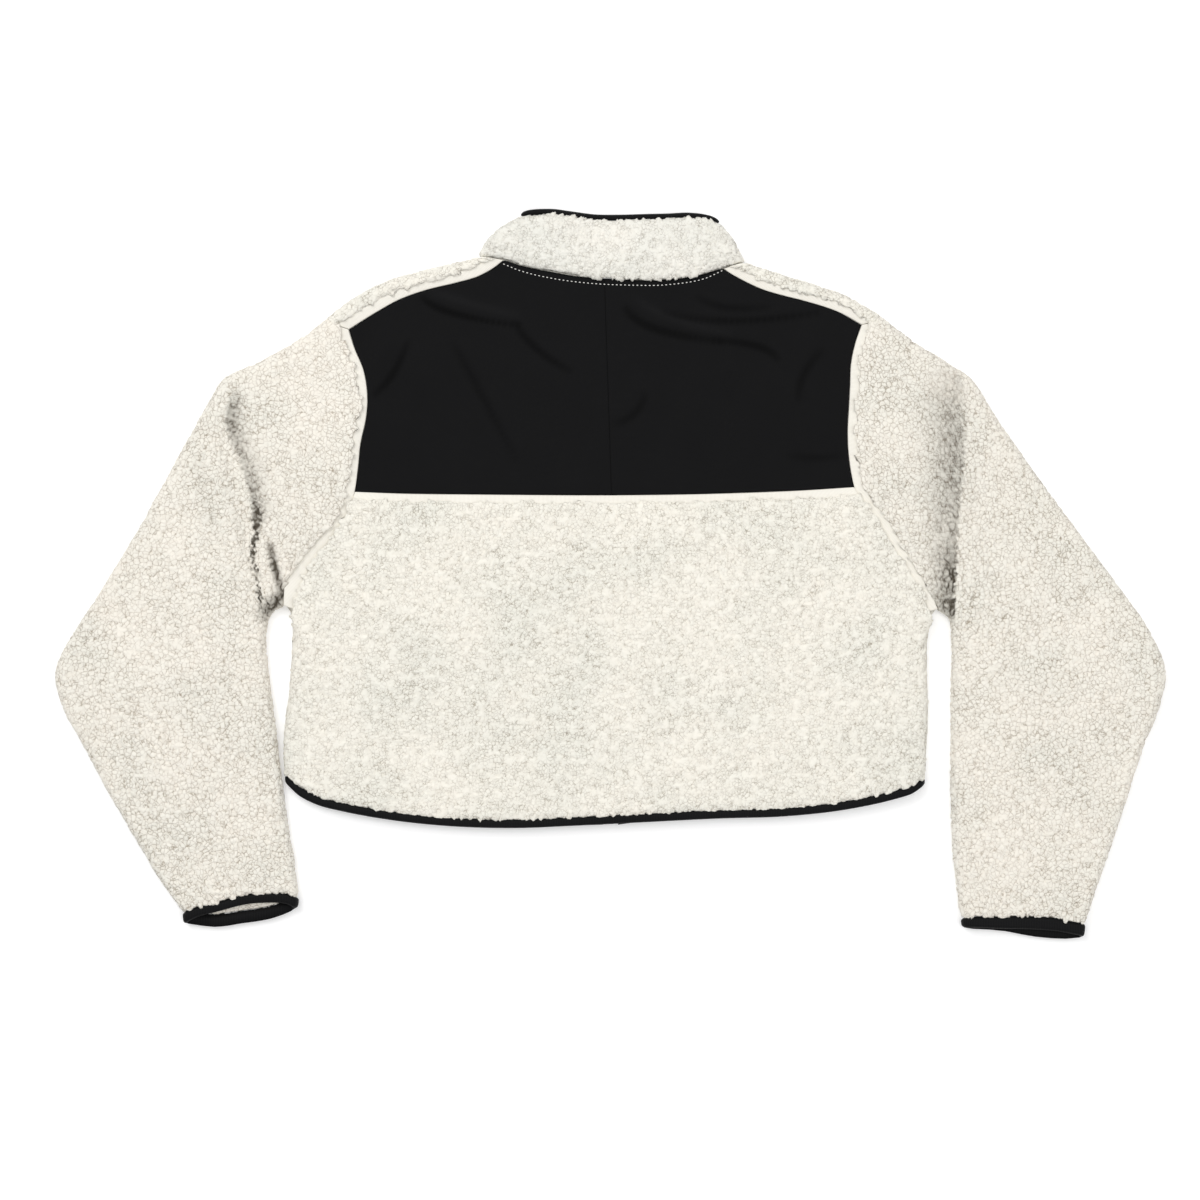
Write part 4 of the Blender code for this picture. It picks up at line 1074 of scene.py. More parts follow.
def collar_binding_grids():
    """Outer and inner grid of the binding on the collar's upper edge."""
    rows = 1 + np.array([1.5 * GAP / COLLAR_BINDING, 0.5, 1])
    upper, lower, share = collar_plan(rows, COLLAR_BINDING)
    past = 1 + (rows - 1) * COLLAR_BINDING / COLLAR_HEIGHT
    z = BINDING_HIGH - collar_sag(past, share)
    return flat_loop(upper, lower, z, BINDING_LOW, BINDING_THICK, split=ZIP_HALF + GAP)


def hem_binding_grids():
    """Outer and inner grid of the binding round the hem, from one zip edge to the other."""
    line = points(HEM, 0, 1, 2)
    upper = [line[:, :2] + np.array([0, 1.0]) * share * line[:, 2:] for share in (1.0, 0.5, 0.0)]
    upper = np.stack(upper)
    lower = upper + [0, FRONT_HEM_RISE]
    lower[0] = upper[0]
    z = np.full((3, len(line)), BINDING_HIGH)
    return flat_loop(upper, lower, z, BINDING_LOW, BINDING_THICK, split=ZIP_HALF + GAP)


# --- materials --------------------------------------------------------------------------


def linear(code):
    """An sRGB hex colour as linear red, green, blue and an alpha of 1."""
    levels = [int(code[place : place + 2], 16) / 255 for place in (1, 3, 5)]
    curve = [v / 12.92 if v <= 0.04045 else ((v + 0.055) / 1.055) ** 2.4 for v in levels]
    return (*curve, 1.0)


def add_node(material, kind, settings=None, links=None):
    """Adds a node. settings holds its properties, its sockets' own values and a ramp's stops,
    and links holds the node and the output that feed each of its sockets."""
    made = material.node_tree.nodes.new("ShaderNode" + kind)
    for name, value in (settings or {}).items():
        if name == "stops":
            ramp = made.color_ramp
            while len(ramp.elements) < len(value):
                ramp.elements.new(1.0)
            for element, (place, colour) in zip(ramp.elements, value):
                element.position = place
                element.color = colour
        elif isinstance(name, int) or name in made.inputs:
            made.inputs[name].default_value = value
        else:
            setattr(made, name, value)
    for name, (source, output) in (links or {}).items():
        material.node_tree.links.new(source.outputs[output], made.inputs[name])
    return made


def finish_material(name, values, links):
    """A material of one Principled shader with its own values and what feeds it."""
    material = bpy.data.materials.get(name)
    if material:
        return material
    material = bpy.data.materials.new(name)
    material.use_nodes = True
    material.node_tree.nodes.clear()
    shader = add_node(material, "BsdfPrincipled", values, links(material))
    add_node(material, "OutputMaterial", links={"Surface": (shader, "BSDF")})
    return material


# Sizes in the sherpa's pattern, in metres.
LOCK = 0.0016  # spacing of its locks: a single fibre, of 0.02 mm, is too fine to be seen
LINE_BEND = 0.0022  # how far the lines between the curls wander
LINE_RUN = 0.004  # length over which they do so
LINE_BREAK = 0.007  # spacing of the places where the lines close
PATCH = 0.06  # spacing of patches that are worn flatter


def sherpa(name, tip, hollow_shade, crevice, shadow, nub, shut):
    """Knitted polyester sherpa, its pile steamed into curls: matt and soft, never glossy, and light
    at the tips, with painted shade in thin broken lines between the curls. A curl is nub wide.
    Where a slow noise is below shut, no line opens. The depth is the tuft's height times the line,
    plus what is worn, and a ramp turns it into a colour: the crevice and hollow colours are
    painted shade, the tip colour is the pile's own. A crease's shade attribute multiplies it
    towards the shadow colour, a painted shadow."""

    def links(material):
        place = add_node(material, "TexCoord")
        pile = add_node(material, "Attribute", {"attribute_name": "pile"})
        tone = add_node(material, "Attribute", {"attribute_name": "tone"})
        locks = add_node(material, "TexNoise", {"Scale": 1 / LOCK, "Detail": 3.0},
                         {"Vector": (place, "Object")})
        bent = add_node(material, "TexNoise", {"Scale": 1 / LINE_RUN, "Detail": 1.0},
                        {"Vector": (place, "Object")})
        shift = add_node(material, "VectorMath", {"operation": "MULTIPLY_ADD",
                                                  1: (LINE_BEND,) * 3, 2: (-LINE_BEND / 2,) * 3},
                         {0: (bent, "Color")})
        moved_place = add_node(material, "VectorMath", {"operation": "ADD"},
                               {0: (place, "Object"), 1: (shift, "Vector")})
        edge = add_node(material, "TexVoronoi", {"feature": "DISTANCE_TO_EDGE",
                                                 "Scale": 1 / nub},
                        {"Vector": (moved_place, "Vector")})
        # A line is at most 0.12 of a curl to each side, and only where the slow noise opens it.
        gaps = add_node(material, "TexNoise", {"Scale": 1 / LINE_BREAK, "Detail": 2.0},
                        {"Vector": (place, "Object")})
        opening = add_node(material, "MapRange", {"From Min": shut, "From Max": shut + 0.2,
                                                  "To Min": 0.0, "To Max": 0.12},
                           {"Value": (gaps, "Fac")})
        closed = add_node(material, "Math", {"operation": "MAXIMUM", 1: 0.001},
                          {0: (opening, "Result")})
        line = add_node(material, "Math", {"operation": "DIVIDE", "use_clamp": True},
                        {0: (edge, "Distance"), 1: (closed, "Value")})
        soft = add_node(material, "Math", {"operation": "MULTIPLY_ADD", 1: 0.74, 2: 0.26},
                        {0: (line, "Value")})
        rough = add_node(material, "Math", {"operation": "MULTIPLY_ADD", 1: 0.24, 2: -0.12},
                         {0: (locks, "Fac")})
        patches = add_node(material, "TexNoise", {"Scale": 1 / PATCH, "Detail": 3.0},
                           {"Vector": (place, "Object")})
        trodden = add_node(material, "Math", {"operation": "MULTIPLY_ADD", 1: 0.28},
                           {0: (patches, "Fac"), 2: (rough, "Value")})
        level = add_node(material, "Math", {"operation": "SUBTRACT", 1: 0.13},
                         {0: (trodden, "Value")})
        even = add_node(material, "Math", {"operation": "MULTIPLY_ADD", 1: 0.85, 2: 0.105},
                        {0: (pile, "Fac")})
        depth = add_node(material, "Math", {"operation": "MULTIPLY_ADD"},
                         {0: (even, "Value"), 1: (soft, "Value"), 2: (level, "Value")})
        # Painted shade: low, parted places take the hollow's and the crevice's darker colours,
        # where the curls shade each other; the tips keep the pile's own colour.
        shade = add_node(material, "ValToRGB", {"stops": (
            (0.09, linear(crevice)), (0.36, linear(hollow_shade)), (0.63, linear(tip)),
        )}, {"Fac": (depth, "Value")})
        tint = add_node(material, "ValToRGB", {"stops": (
            (0.35, linear("#DFE2DF")), (0.6, linear("#FFF8F2")),
        )}, {"Fac": (patches, "Fac")})
        each = add_node(material, "Math", {"operation": "MULTIPLY_ADD", 1: 0.2, 2: 0.1},
                        {0: (tone, "Fac")})
        mixed = add_node(material, "Mix", {"data_type": "RGBA", "blend_type": "MULTIPLY"},
                         {0: (each, "Value"), 6: (shade, "Color"), 7: (tint, "Color")})
        crease = add_node(material, "Attribute", {"attribute_name": "shade"})
        folded = add_node(material, "Mix", {"data_type": "RGBA", "blend_type": "MULTIPLY",
                                            7: linear(shadow)},
                          {0: (crease, "Fac"), 6: (mixed, 2)})
        curl = add_node(material, "Bump", {"Strength": 0.5, "Distance": 0.0008},
                        {"Height": (line, "Value")})
        fuzz = add_node(material, "Bump", {"Strength": 0.35, "Distance": 0.0006},
                        {"Height": (locks, "Fac"), "Normal": (curl, "Normal")})
        return {"Base Color": (folded, 2), "Normal": (fuzz, "Normal")}

    values = {"Roughness": 0.95, "Specular IOR Level": 0.1, "Sheen Weight": 0.15,
              "Sheen Roughness": 0.6}
    return finish_material(name, values, links)


def sherpa_body(settings):
    """The pile of the body and the fronts."""
    return sherpa("sherpa_pile_body", "#F6F3E9", "#EAE6DB", "#AAA090", "#66635C",
                  0.84 * settings.tuft, 0.37)


def sherpa_collar(settings):
    """The pile of the collar, closer, with fewer lines open and lighter painted shade in them."""
    return sherpa("sherpa_pile_collar", "#F2F0E8", "#EAE7DE", "#B6B0A5", "#66635C",
                  0.8 * settings.tuft, 0.39)


def sherpa_sleeve(settings):
    """The pile of the sleeves, warmer and more open."""
    return sherpa("sherpa_pile_sleeve", "#F5F1E7", "#EAE4D9", "#A79C8B", "#5C574F",
                  0.9 * settings.sleeve_tuft, 0.3)


def threads(name, face, groove_shade, across, along, roughness, sheen, depth, painted_crease_light=False):
    """Cloth of crossed threads: two sets of rounded bands, across and along the piece's own map,
    multiplied, so that each crossing is a small bead. A spacing of 0 leaves a set out. The colour
    runs from the groove colour, a painted shade down between the threads, to the face colour on
    their tops. Creased cloth has painted shade down in its creases and a painted highlight on
    their ridges, by its own attribute."""

    def links(material):
        place = add_node(material, "UVMap", {"uv_map": "cloth"})
        height = None
        for axis, spacing in (("X", along), ("Y", across)):
            if spacing:
                # One band of the wave texture is two pi of its own units long.
                band = add_node(material, "TexWave", {
                    "bands_direction": axis, "Scale": 2 * np.pi / 20 / spacing,
                    "Distortion": 0.6, "Detail": 1.0,
                }, {"Vector": (place, "UV")})
                height = band if height is None else add_node(
                    material, "Math", {"operation": "MULTIPLY"},
                    {0: (height, "Fac"), 1: (band, "Fac")},
                )
        output = "Fac" if "Fac" in height.outputs else "Value"
        spot = add_node(material, "TexCoord")
        patches = add_node(material, "TexNoise", {"Scale": 1 / 0.03, "Detail": 4.0},
                           {"Vector": (spot, "Object")})
        worn = add_node(material, "Math", {"operation": "MULTIPLY_ADD", 1: 0.5, 2: -0.25},
                        {0: (patches, "Fac")})
        level = add_node(material, "Math", {"operation": "ADD", "use_clamp": True},
                         {0: (height, output), 1: (worn, "Value")})
        # Painted shade: the colour darkens down between the threads, towards the groove colour.
        shade = add_node(material, "ValToRGB", {"stops": (
            (0.1, linear(groove_shade)), (0.9, linear(face)),
        )}, {"Fac": (level, "Value")})
        relief = add_node(material, "Bump", {"Strength": 0.5, "Distance": depth},
                          {"Height": (height, output)})
        if not painted_crease_light:
            return {"Base Color": (shade, "Color"), "Normal": (relief, "Normal")}
        # Painted light: the yoke's attribute darkens its colour in the creases' hollows and
        # lightens it on their ridges.
        crease_light = add_node(material, "Attribute", {"attribute_name": "pile"})
        folded = add_node(material, "Mix", {"data_type": "RGBA", "blend_type": "MULTIPLY", 0: 1.0},
                          {6: (shade, "Color"), 7: (crease_light, "Color")})
        return {"Base Color": (folded, 2), "Normal": (relief, "Normal")}

    values = {"Roughness": roughness, "Specular IOR Level": 0.08, "Sheen Weight": sheen,
              "Sheen Roughness": 0.5}
    return finish_material(name, values, links)


def plain_weave():
    """Polyester shell cloth in a plain weave: matt black, with a faint grain. A real thread is
    0.25 mm wide, drawn 0.9 mm here so that the grain shows."""
    return threads("woven_polyester_shell", "#1F1F20", "#151516", 0.0009, 0.0009, 0.8, 0.02,
                   0.0002, painted_crease_light=True)


def knitted_tape():
    """Polyester tape, warp knitted: cream and matt, with fine ribs along it."""
    return threads("warp_knitted_tape", "#F8F5EC", "#E9E4D9", 0.0011, 0.0, 0.85, 0.1, 0.0002)


def elastic_binding():
    """Knitted elastane binding: black, with close ribs across it and a faint shine."""
    return threads("knitted_elastane_binding", "#171718", "#0C0C0D", 0.0, 0.0014, 0.6, 0.03, 0.0003)


def woven_tape():
    """Woven polyester zip tape: black, ribbed along its length."""
    return threads("woven_zip_tape", "#1D1D1E", "#101011", 0.0, 0.0010, 0.7, 0.02, 0.0002)


def moulded_acetal():
    """Moulded acetal zip teeth: dark, smooth and a little glossy."""

    def links(material):
        place = add_node(material, "TexCoord")
        grain = add_node(material, "TexNoise", {"Scale": 1 / 0.004, "Detail": 2.0},
                         {"Vector": (place, "Object")})
        shade = add_node(material, "ValToRGB", {"stops": (
            (0.3, linear("#131314")), (0.7, linear("#1D1D1F")),
        )}, {"Fac": (grain, "Fac")})
        return {"Base Color": (shade, "Color")}

    return finish_material("moulded_acetal_teeth", {"Roughness": 0.35}, links)


def painted_zinc():
    """Die-cast zinc, stove enamelled: an even satin black with a slight orange-peel."""

    def links(material):
        place = add_node(material, "TexCoord")
        peel = add_node(material, "TexNoise", {"Scale": 1 / 0.0008, "Detail": 1.0},
                        {"Vector": (place, "Object")})
        shade = add_node(material, "ValToRGB", {"stops": (
            (0.3, linear("#161617")), (0.7, linear("#1F1F21")),
        )}, {"Fac": (peel, "Fac")})
        relief = add_node(material, "Bump", {"Strength": 0.2, "Distance": 0.00005},
                          {"Height": (peel, "Fac")})
        return {"Base Color": (shade, "Color"), "Normal": (relief, "Normal")}

    values = {"Roughness": 0.4, "Coat Weight": 0.3, "Coat Roughness": 0.2}
    return finish_material("stove_enamelled_zinc", values, links)


def spun_thread():
    """Spun polyester sewing thread: off-white, matt, with the twist of its plies, and painted shade
    in the grooves between them.
    """

    def links(material):
        place = add_node(material, "TexCoord")
        plies = add_node(material, "TexWave", {"bands_direction": "DIAGONAL",
                                               "Scale": 2 * np.pi / 20 / 0.0006},
                         {"Vector": (place, "Object")})
        shade = add_node(material, "ValToRGB", {"stops": (
            (0.0, linear("#D8D6D0")), (0.6, linear("#F4F3EF")),
        )}, {"Fac": (plies, "Fac")})
        return {"Base Color": (shade, "Color")}

    return finish_material("spun_polyester_thread", {"Roughness": 0.8}, links)


def matt_paper(colour):
    """Matt white background paper on a light table: even, with a very faint mottle. Its own
    glow leaves the jacket almost without a shadow."""

    def links(material):
        place = add_node(material, "TexCoord")
        mottle = add_node(material, "TexNoise", {"Scale": 3.0}, {"Vector": (place, "Object")})
        dim = tuple(0.99 * level for level in colour)
        shade = add_node(material, "ValToRGB", {"stops": (
            (0.0, (*dim, 1.0)), (1.0, (*colour, 1.0)),
        )}, {"Fac": (mottle, "Fac")})
        return {"Base Color": (shade, "Color")}

    values = {"Roughness": 0.9, "Emission Color": (1, 1, 1, 1), "Emission Strength": 0.22}
    return finish_material("matt_background_paper", values, links)


# --- pieces -----------------------------------------------------------------------------


def side_share(line, seam_y):
    """How deep the pile rolls off at a side: deep at the side seam, shallow by the armhole."""
    shallow, added, run = SIDE_ROLL
    return (shallow + added * eased((seam_y - line[..., 1]) / run))[:, None]


def make_back_body(settings):
    """The back panel: flat on the fronts, level with the stack's top but for soft folds."""
    coarse = back_body_plan()
    plan = laid(coarse, FINE)
    outer = raised(plan, STACK + folds(plan, BODY_FOLDS))
    inner = raised(plan, BACK_LOW)
    shares = [side_share(plan[:, column], SIDE_LEFT[-1][1]) for column in (0, -1)]
    outer = rounded(outer, inner, [(5.0, 0.35), (4.0, 0.14), *[(8.0, part) for part in shares]])
    hem = HEM_REACH * eased((plan[..., 0] - SIDE_LEFT[0][0]) / HEM_RUN)
    sides = [SIDE_REACH * (1.0 - part) for part in shares]
    lean = over_edges(outer, [hem, YOKE_SEAM_REACH, *sides])
    cloth = sherpa_body(settings)
    piece = fleece_shell("back_body_pile", outer, inner, cloth, settings, settings.tuft, lean=lean)
    declare(raised(coarse, STACK), "back_body")


def make_yoke(side):
    """One half of the yoke: a thin sheet with drag creases, painted shade in their hollows and a
    painted highlight on their ridges, rolled under at the centre seam.
    """
    coarse = yoke_plan(side)
    plan = risen(laid(coarse, SMOOTH))
    outer = raised(plan, yoke_height(plan))
    inner = raised(plan, BACK_LOW)
    outer = rounded(outer, inner, [(1.6, 0.5), (1.6, 0.4), (1.6, 0.4), (1.4, 0.4)])
    outer += over_edges(outer, [0, 0, 0, CENTRE_SEAM_REACH])
    # Painted light: the tone that the cloth's colour is multiplied by, darker in the creases'
    # hollows and lighter on their ridges.
    flat, change, depth = YOKE_CREASE_LIGHT
    crease_light = flat + change * np.tanh(folds(plan, YOKE_CREASES) / depth)
    piece = shell(f"yoke_{side}_cloth", outer, inner, plain_weave(), pile=(crease_light,))
    declare(raised(coarse, BACK_LOW), f"yoke_{side}")


def make_tapes():
    """Seam tapes: bands between two seams, rising across from the body's edge to the outer one,
    with rounded edges.
    """
    for name, (body_edge, outer_edge) in tape_edges().items():
        share = np.linspace(0, 1, 4)[None, :, None]
        coarse = (1 - share) * body_edge[:, None] + share * outer_edge[:, None]
        plan = risen(laid(coarse, NARROW))
        from_body = run_lengths(plan, 1) / run_lengths(plan, 1)[-1]
        z = BACK_LOW + TAPE_THICK - 0.2 + 1.6 * from_body + uneven(plan, TAPE_SWELL)
        outer, inner = raised(plan, z), raised(plan, BACK_LOW)
        outer = rounded(outer, inner, [(0.8, 0.1), (0.8, 0.1), (2.0, 0.16), (2.0, 0.16)])
        outer += over_edges(outer, TAPE_REACHES)
        piece = shell(f"{name}_knit", outer, inner, knitted_tape())
        declare(raised(coarse, STACK), name,
                turned=TAPE_TURNED)


def make_front(settings, side):
    """One front: flat on the surface, turned up round the shoulder on half a circle."""
    outer, inner = front_grids(side)
    stations = run_lengths(outer, 0)
    turn = stations[-(TURN_STEPS + 4)]
    rows = np.concatenate([
        places(turn, HIDDEN, (True, False))[:-1],
        turn + places(stations[-1] - turn, FINE, (False, True)),
    ])
    columns = places(run_lengths(outer, 1)[-1], 1.5 * FINE)
    fine, low = (risen(grid) for grid in finer([outer, inner], rows, columns))
    share = side_share(fine[:, 0], SIDE_LEFT[-1][1])
    fine = rounded(fine, low, [(5.0, 0.35), (3.0, 0.12), (8.0, share), (3.0, 0.3)])
    piece = fleece_shell(f"front_{side}_pile", fine, low, sherpa_body(settings), settings,
                         settings.tuft, seed=300.0, lean=over_edges(fine, FRONT_REACHES))
    declare(outer, f"front_{side}")


def layered(outer, inner, table):
    """Raises folds on the upper layer of a loop, fading to nothing round its turns, and gives
    the share of them that each point has."""
    weight = eased((outer[..., 2] - 0.35 * STACK) / (0.5 * STACK))
    rise = weight * folds(outer, table)
    outer[..., 2] += rise
    inner[..., 2] = np.maximum(inner[..., 2] + rise, inner[..., 2].min())
    return weight


def make_sleeve(settings, side):
    """One sleeve: a flattened tube, open at the armhole and the cuff, with its main creases."""
    outer, inner = sleeve_grids(side)
    down, seen, hidden = SLEEVE_SPACING
    rows = places(run_lengths(outer, 0)[-1], down)
    columns = ring_places(outer, seen, hidden, True)
    fine, low = finer([outer, inner], rows, columns, shut=True)
    layered(fine, low, SLEEVE_FOLDS)
    upper = layered(fine, low, points(SLEEVE_CREASES, *range(8)))
    lap = lapped(fine, SLEEVE_LAPS[side], side)
    fine[..., 2] -= LAP_DEPTH * upper * lap
    shade = upper * np.maximum(lap, folds(fine, points(SLEEVE_CREASES, *range(7), 8)))
    fine = rounded(fine, low, [(4.0, 0.14), (4.0, 0.3), (1.0, 0), (1.0, 0)])
    piece = fleece_shell(f"sleeve_{side}_pile", fine, low, sherpa_sleeve(settings), settings,
                         settings.sleeve_tuft, shut=True, seed=700.0, shade=shade,
                         lean=over_edges(fine, SLEEVE_REACHES))
    declare(outer, f"sleeve_{side}", shut=True)


def make_collar(settings):
    """The stand collar: a flattened band open at the centre front, shaggy at its lower edge."""
    outer, inner = collar_grids()
    down, seen, hidden = COLLAR_SPACING
    rows = places(run_lengths(outer, 0)[-1], down)
    columns = ring_places(outer, seen, hidden, False)
    fine, low = (risen(grid) for grid in finer([outer, inner], rows, columns))
    fine = rounded(fine, low, [(4.0, 0.35), (4.0, 0.35), (3.0, 0.3), (3.0, 0.3)])
    top = eased((fine[..., 2] - COLLAR_TUFTS_ABOVE) / 3)
    shag = np.interp(fine[..., 0], *points(NECK_SHAG, 0, 1).T)
    start, width = COLLAR_ENDS
    ends = eased((np.abs(fine[..., 0] - COLLAR_MIDDLE) - start) / width)
    crest = COLLAR_CREST[0] + COLLAR_CREST[1] * ends
    lean = over_edges(fine, [shag * top, crest * top, 0, 0])
    piece = fleece_shell("collar_pile", fine, low, sherpa_collar(settings), settings,
                         0.88 * settings.tuft, seed=150.0, lean=lean)
    declare(outer, "collar")


def make_binding(name, node, grids, shut):
    """A folded binding: a flattened loop with both long edges rolled, ribbed by its cloth."""
    outer, inner = grids
    down, seen, hidden = BINDING_SPACING
    rows = places(run_lengths(outer, 0)[-1], down)
    columns = ring_places(outer, seen, hidden, shut)
    fine, low = finer([outer, inner], rows, columns, shut=shut)
    fine[..., 2] += uneven(fine, BINDING_SWELL) * eased((fine[..., 2] - LAYER) / 3)
    fine = rounded(fine, low, [(2.5, 0.75), (2.5, 0.75), (0.8, 0 if shut else 0.2),
                               (0.8, 0 if shut else 0.2)])
    piece = shell(name, fine, low, elastic_binding(), shut=shut)
    declare(outer, node, shut=shut, turned=BINDING_THICK)


BEAD_SIDES = 8
BEAD_TILTS = (-0.9, 0.0, 0.9)


def beads(name, centres, along, half, boxiness, material):
    """Closed grains at many places, each turned in plan. A grain's point is its half sizes
    times the sine and cosine of two angles, each raised to the boxiness."""

    def power(value):
        return np.sign(value) * np.abs(value) ** boxiness

    around = np.arange(BEAD_SIDES) * 2 * np.pi / BEAD_SIDES
    tilt = np.array(BEAD_TILTS)[:, None]
    ring = np.dstack([
        power(np.cos(tilt)) * power(np.cos(around)),
        power(np.cos(tilt)) * power(np.sin(around)),
        power(np.sin(tilt)) + 0 * around,
    ]).reshape(-1, 3)
    grain = np.vstack([[[0, 0, -1]], ring, [[0, 0, 1]]]) * half
    turn = along / np.linalg.norm(along, axis=1)[:, None]
    x = grain[:, 0] * turn[:, :1] - grain[:, 1] * turn[:, 1:2]
    y = grain[:, 0] * turn[:, 1:2] + grain[:, 1] * turn[:, :1]
    spots = np.dstack([x, y, np.broadcast_to(grain[:, 2], x.shape)]) + centres[:, None]
    one = np.arange(BEAD_SIDES)
    other = (one + 1) % BEAD_SIDES
    last = len(grain) - 1
    tips = np.vstack([
        np.column_stack([0 * one, 1 + other, 1 + one]),
        np.column_stack([0 * one + last, last - BEAD_SIDES + one, last - BEAD_SIDES + other]),
    ])
    rows = (1 + BEAD_SIDES * np.arange(len(BEAD_TILTS) - 1))[:, None]
    above = rows + BEAD_SIDES
    walls = np.dstack([rows + one, rows + other, above + other, above + one]).reshape(-1, 4)
    first = (len(grain) * np.arange(len(centres)))[:, None, None]
    triangles, quads = (tips + first).reshape(-1, 3), (walls + first).reshape(-1, 4)
    mesh = bpy.data.meshes.new(name)
    mesh.from_pydata((spots.reshape(-1, 3) * MM).tolist(), [], triangles.tolist() + quads.tolist())
    mesh.materials.append(material)
    mesh.shade_smooth()
    made = bpy.data.objects.new(name, mesh)
    bpy.context.scene.collection.objects.link(made)
    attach(made, "root")
    return made


def make_neck_stitches(settings):
    """A row of dashes along the neck: thread grains half sunk in the yoke's cloth."""
    line = smooth(STITCH_LINE)
    length = np.linalg.norm(np.diff(line, axis=0), axis=1).sum()
    spacing = settings.stitch_length / MM
    places_along = np.linspace(0.003, 0.997, int(length / spacing))
    centres = at(line, places_along)
    along = at(line, places_along + 0.001) - at(line, places_along - 0.001)
    z = yoke_height(centres[None])[0] + STITCH_RISE
    half = np.array(STITCH_HALF) * [spacing, 1, 1]
    beads("neck_topstitch", np.column_stack([centres, z]), along, half, 0.8, spun_thread())


def make_zip(settings):
    """The closed zip: a woven tape down the hidden centre front, with its joined teeth."""
    bottom, top = ZIP_ENDS
    under, over, middle = ZIP_LEVELS
    across = np.linspace(-ZIP_HALF, ZIP_HALF, 4)
    down = np.linspace(bottom, top, 4)
    plan = np.dstack(np.meshgrid(across, down))
    fine = laid(plan, 2 * NARROW)
    outer, inner = raised(fine, under + uneven(fine, ZIP_SWELL)), raised(fine, over)
    tape = shell("zip_tape_weave", outer, inner, woven_tape())
    count = int((top - bottom - 4) / settings.tooth_pitch * MM)
    spots = np.linspace(bottom + 2, top - 2, count)
    reach = TOOTH_OFFSET * np.where(np.arange(count) % 2, 1, -1)
    centres = np.column_stack([reach, spots, np.full(count, middle)])
    along = np.tile([1.0, 0.0], (count, 1))
    half = np.array(TOOTH_HALF) * [1, settings.tooth_pitch / MM, 1]
    teeth = beads("zip_teeth", centres, along, half, 0.55, moulded_acetal())
    declare(raised(plan, under), "front_zip")
    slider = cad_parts["zip_slider"]
    slider.data.materials.clear()
    slider.data.materials.append(painted_zinc())


def make_stage(settings, context):
    """White glowing paper under the jacket, broad soft lamps and the camera straight above."""
    size = 4.0
    mesh = bpy.data.meshes.new("floor")
    corners = [(-size, -size), (size, -size), (size, size), (-size, size)]
    mesh.from_pydata([(x, y, -0.0004) for x, y in corners], [], [(0, 1, 2, 3)])
    mesh.materials.append(matt_paper(tuple(settings.floor_colour)))
    floor = bpy.data.objects.new("floor", mesh)
    context.scene.collection.objects.link(floor)
    for name, place, tilt, width, power in LAMPS:
        lamp = bpy.data.lights.new(name, "AREA")
        lamp.size = width
        lamp.energy = power * settings.lamp_power
        held = bpy.data.objects.new(name, lamp)
        held.location = place
        held.rotation_euler = tilt
        context.scene.collection.objects.link(held)
    world = bpy.data.worlds.new("studio")
    world.use_nodes = True
    world.node_tree.nodes["Background"].inputs["Color"].default_value = (1, 1, 1, 1)
    world.node_tree.nodes["Background"].inputs["Strength"].default_value = settings.sky
    context.scene.world = world
    context.scene.view_settings.view_transform = "Standard"
    lens = bpy.data.cameras.new("camera")
    lens.lens = CAMERA_LENS
    lens.clip_end = 20
    camera = bpy.data.objects.new("camera", lens)
    camera.location = CAMERA_PLACE
    context.scene.collection.objects.link(camera)
    context.scene.camera = camera


# --- add-on -----------------------------------------------------------------------------


class JacketSettings(bpy.types.PropertyGroup):
    """Sizes and colours that a user would change."""

    tuft: bpy.props.FloatProperty(
        name="Body tuft", description="Width of one curl of the body's pile",
        default=0.0034, min=0.002, max=0.01, precision=4, unit="LENGTH",
    )
    sleeve_tuft: bpy.props.FloatProperty(
        name="Sleeve tuft", description="Width of one curl of the sleeves' pile",
        default=0.0040, min=0.002, max=0.01, precision=4, unit="LENGTH",
    )
    tuft_stretch: bpy.props.FloatProperty(
        name="Tuft stretch", description="Length of a curl over its width",
        default=1.7, min=1.0, max=3.0, subtype="FACTOR",
    )
    pile_depth: bpy.props.FloatProperty(
        name="Pile depth", description="Height from the crevices to the tips of the curls",
        default=0.0024, min=0.0, max=0.004, precision=4, unit="LENGTH",
    )
    floor_gap: bpy.props.FloatProperty(
        name="Floor gap", description="Least height of the pile above the surface",
        default=0.0001, min=0.0, max=0.001, precision=4, unit="LENGTH",
    )
    stitch_length: bpy.props.FloatProperty(
        name="Stitch length", description="Spacing of the topstitches along the neck",
        default=0.0034, min=0.0015, max=0.005, precision=4, unit="LENGTH",
    )
    tooth_pitch: bpy.props.FloatProperty(
        name="Tooth pitch", description="Spacing of the zip's joined teeth",
        default=0.0024, min=0.0015, max=0.004, precision=4, unit="LENGTH",
    )
    floor_colour: bpy.props.FloatVectorProperty(
        name="Floor colour", description="Colour of the background paper",
        default=linear("#F4F4F4")[:3], size=3, min=0.0, max=1.0, subtype="COLOR",
    )
    lamp_power: bpy.props.FloatProperty(
        name="Lamp power", description="Power of the key lamp",
        default=60.0, min=0.0, max=500.0, unit="POWER",
    )
    sky: bpy.props.FloatProperty(
        name="Sky", description="Strength of the even light from all round",
        default=0.36, min=0.0, max=3.0,
    )


class JACKET_OT_back_body(bpy.types.Operator):
    """Lays the sherpa back panel between the yoke's tape and the hem"""

    bl_idname = "jacket.back_body"
    bl_label = "Back body"

    def execute(self, context):
        make_back_body(context.scene.jacket)
        return {"FINISHED"}


class JACKET_OT_yokes(bpy.types.Operator):
    """Lays both halves of the woven yoke with their drag creases"""

    bl_idname = "jacket.yokes"
    bl_label = "Yokes"

    def execute(self, context):
        for side in ("left", "right"):
            make_yoke(side)
        return {"FINISHED"}


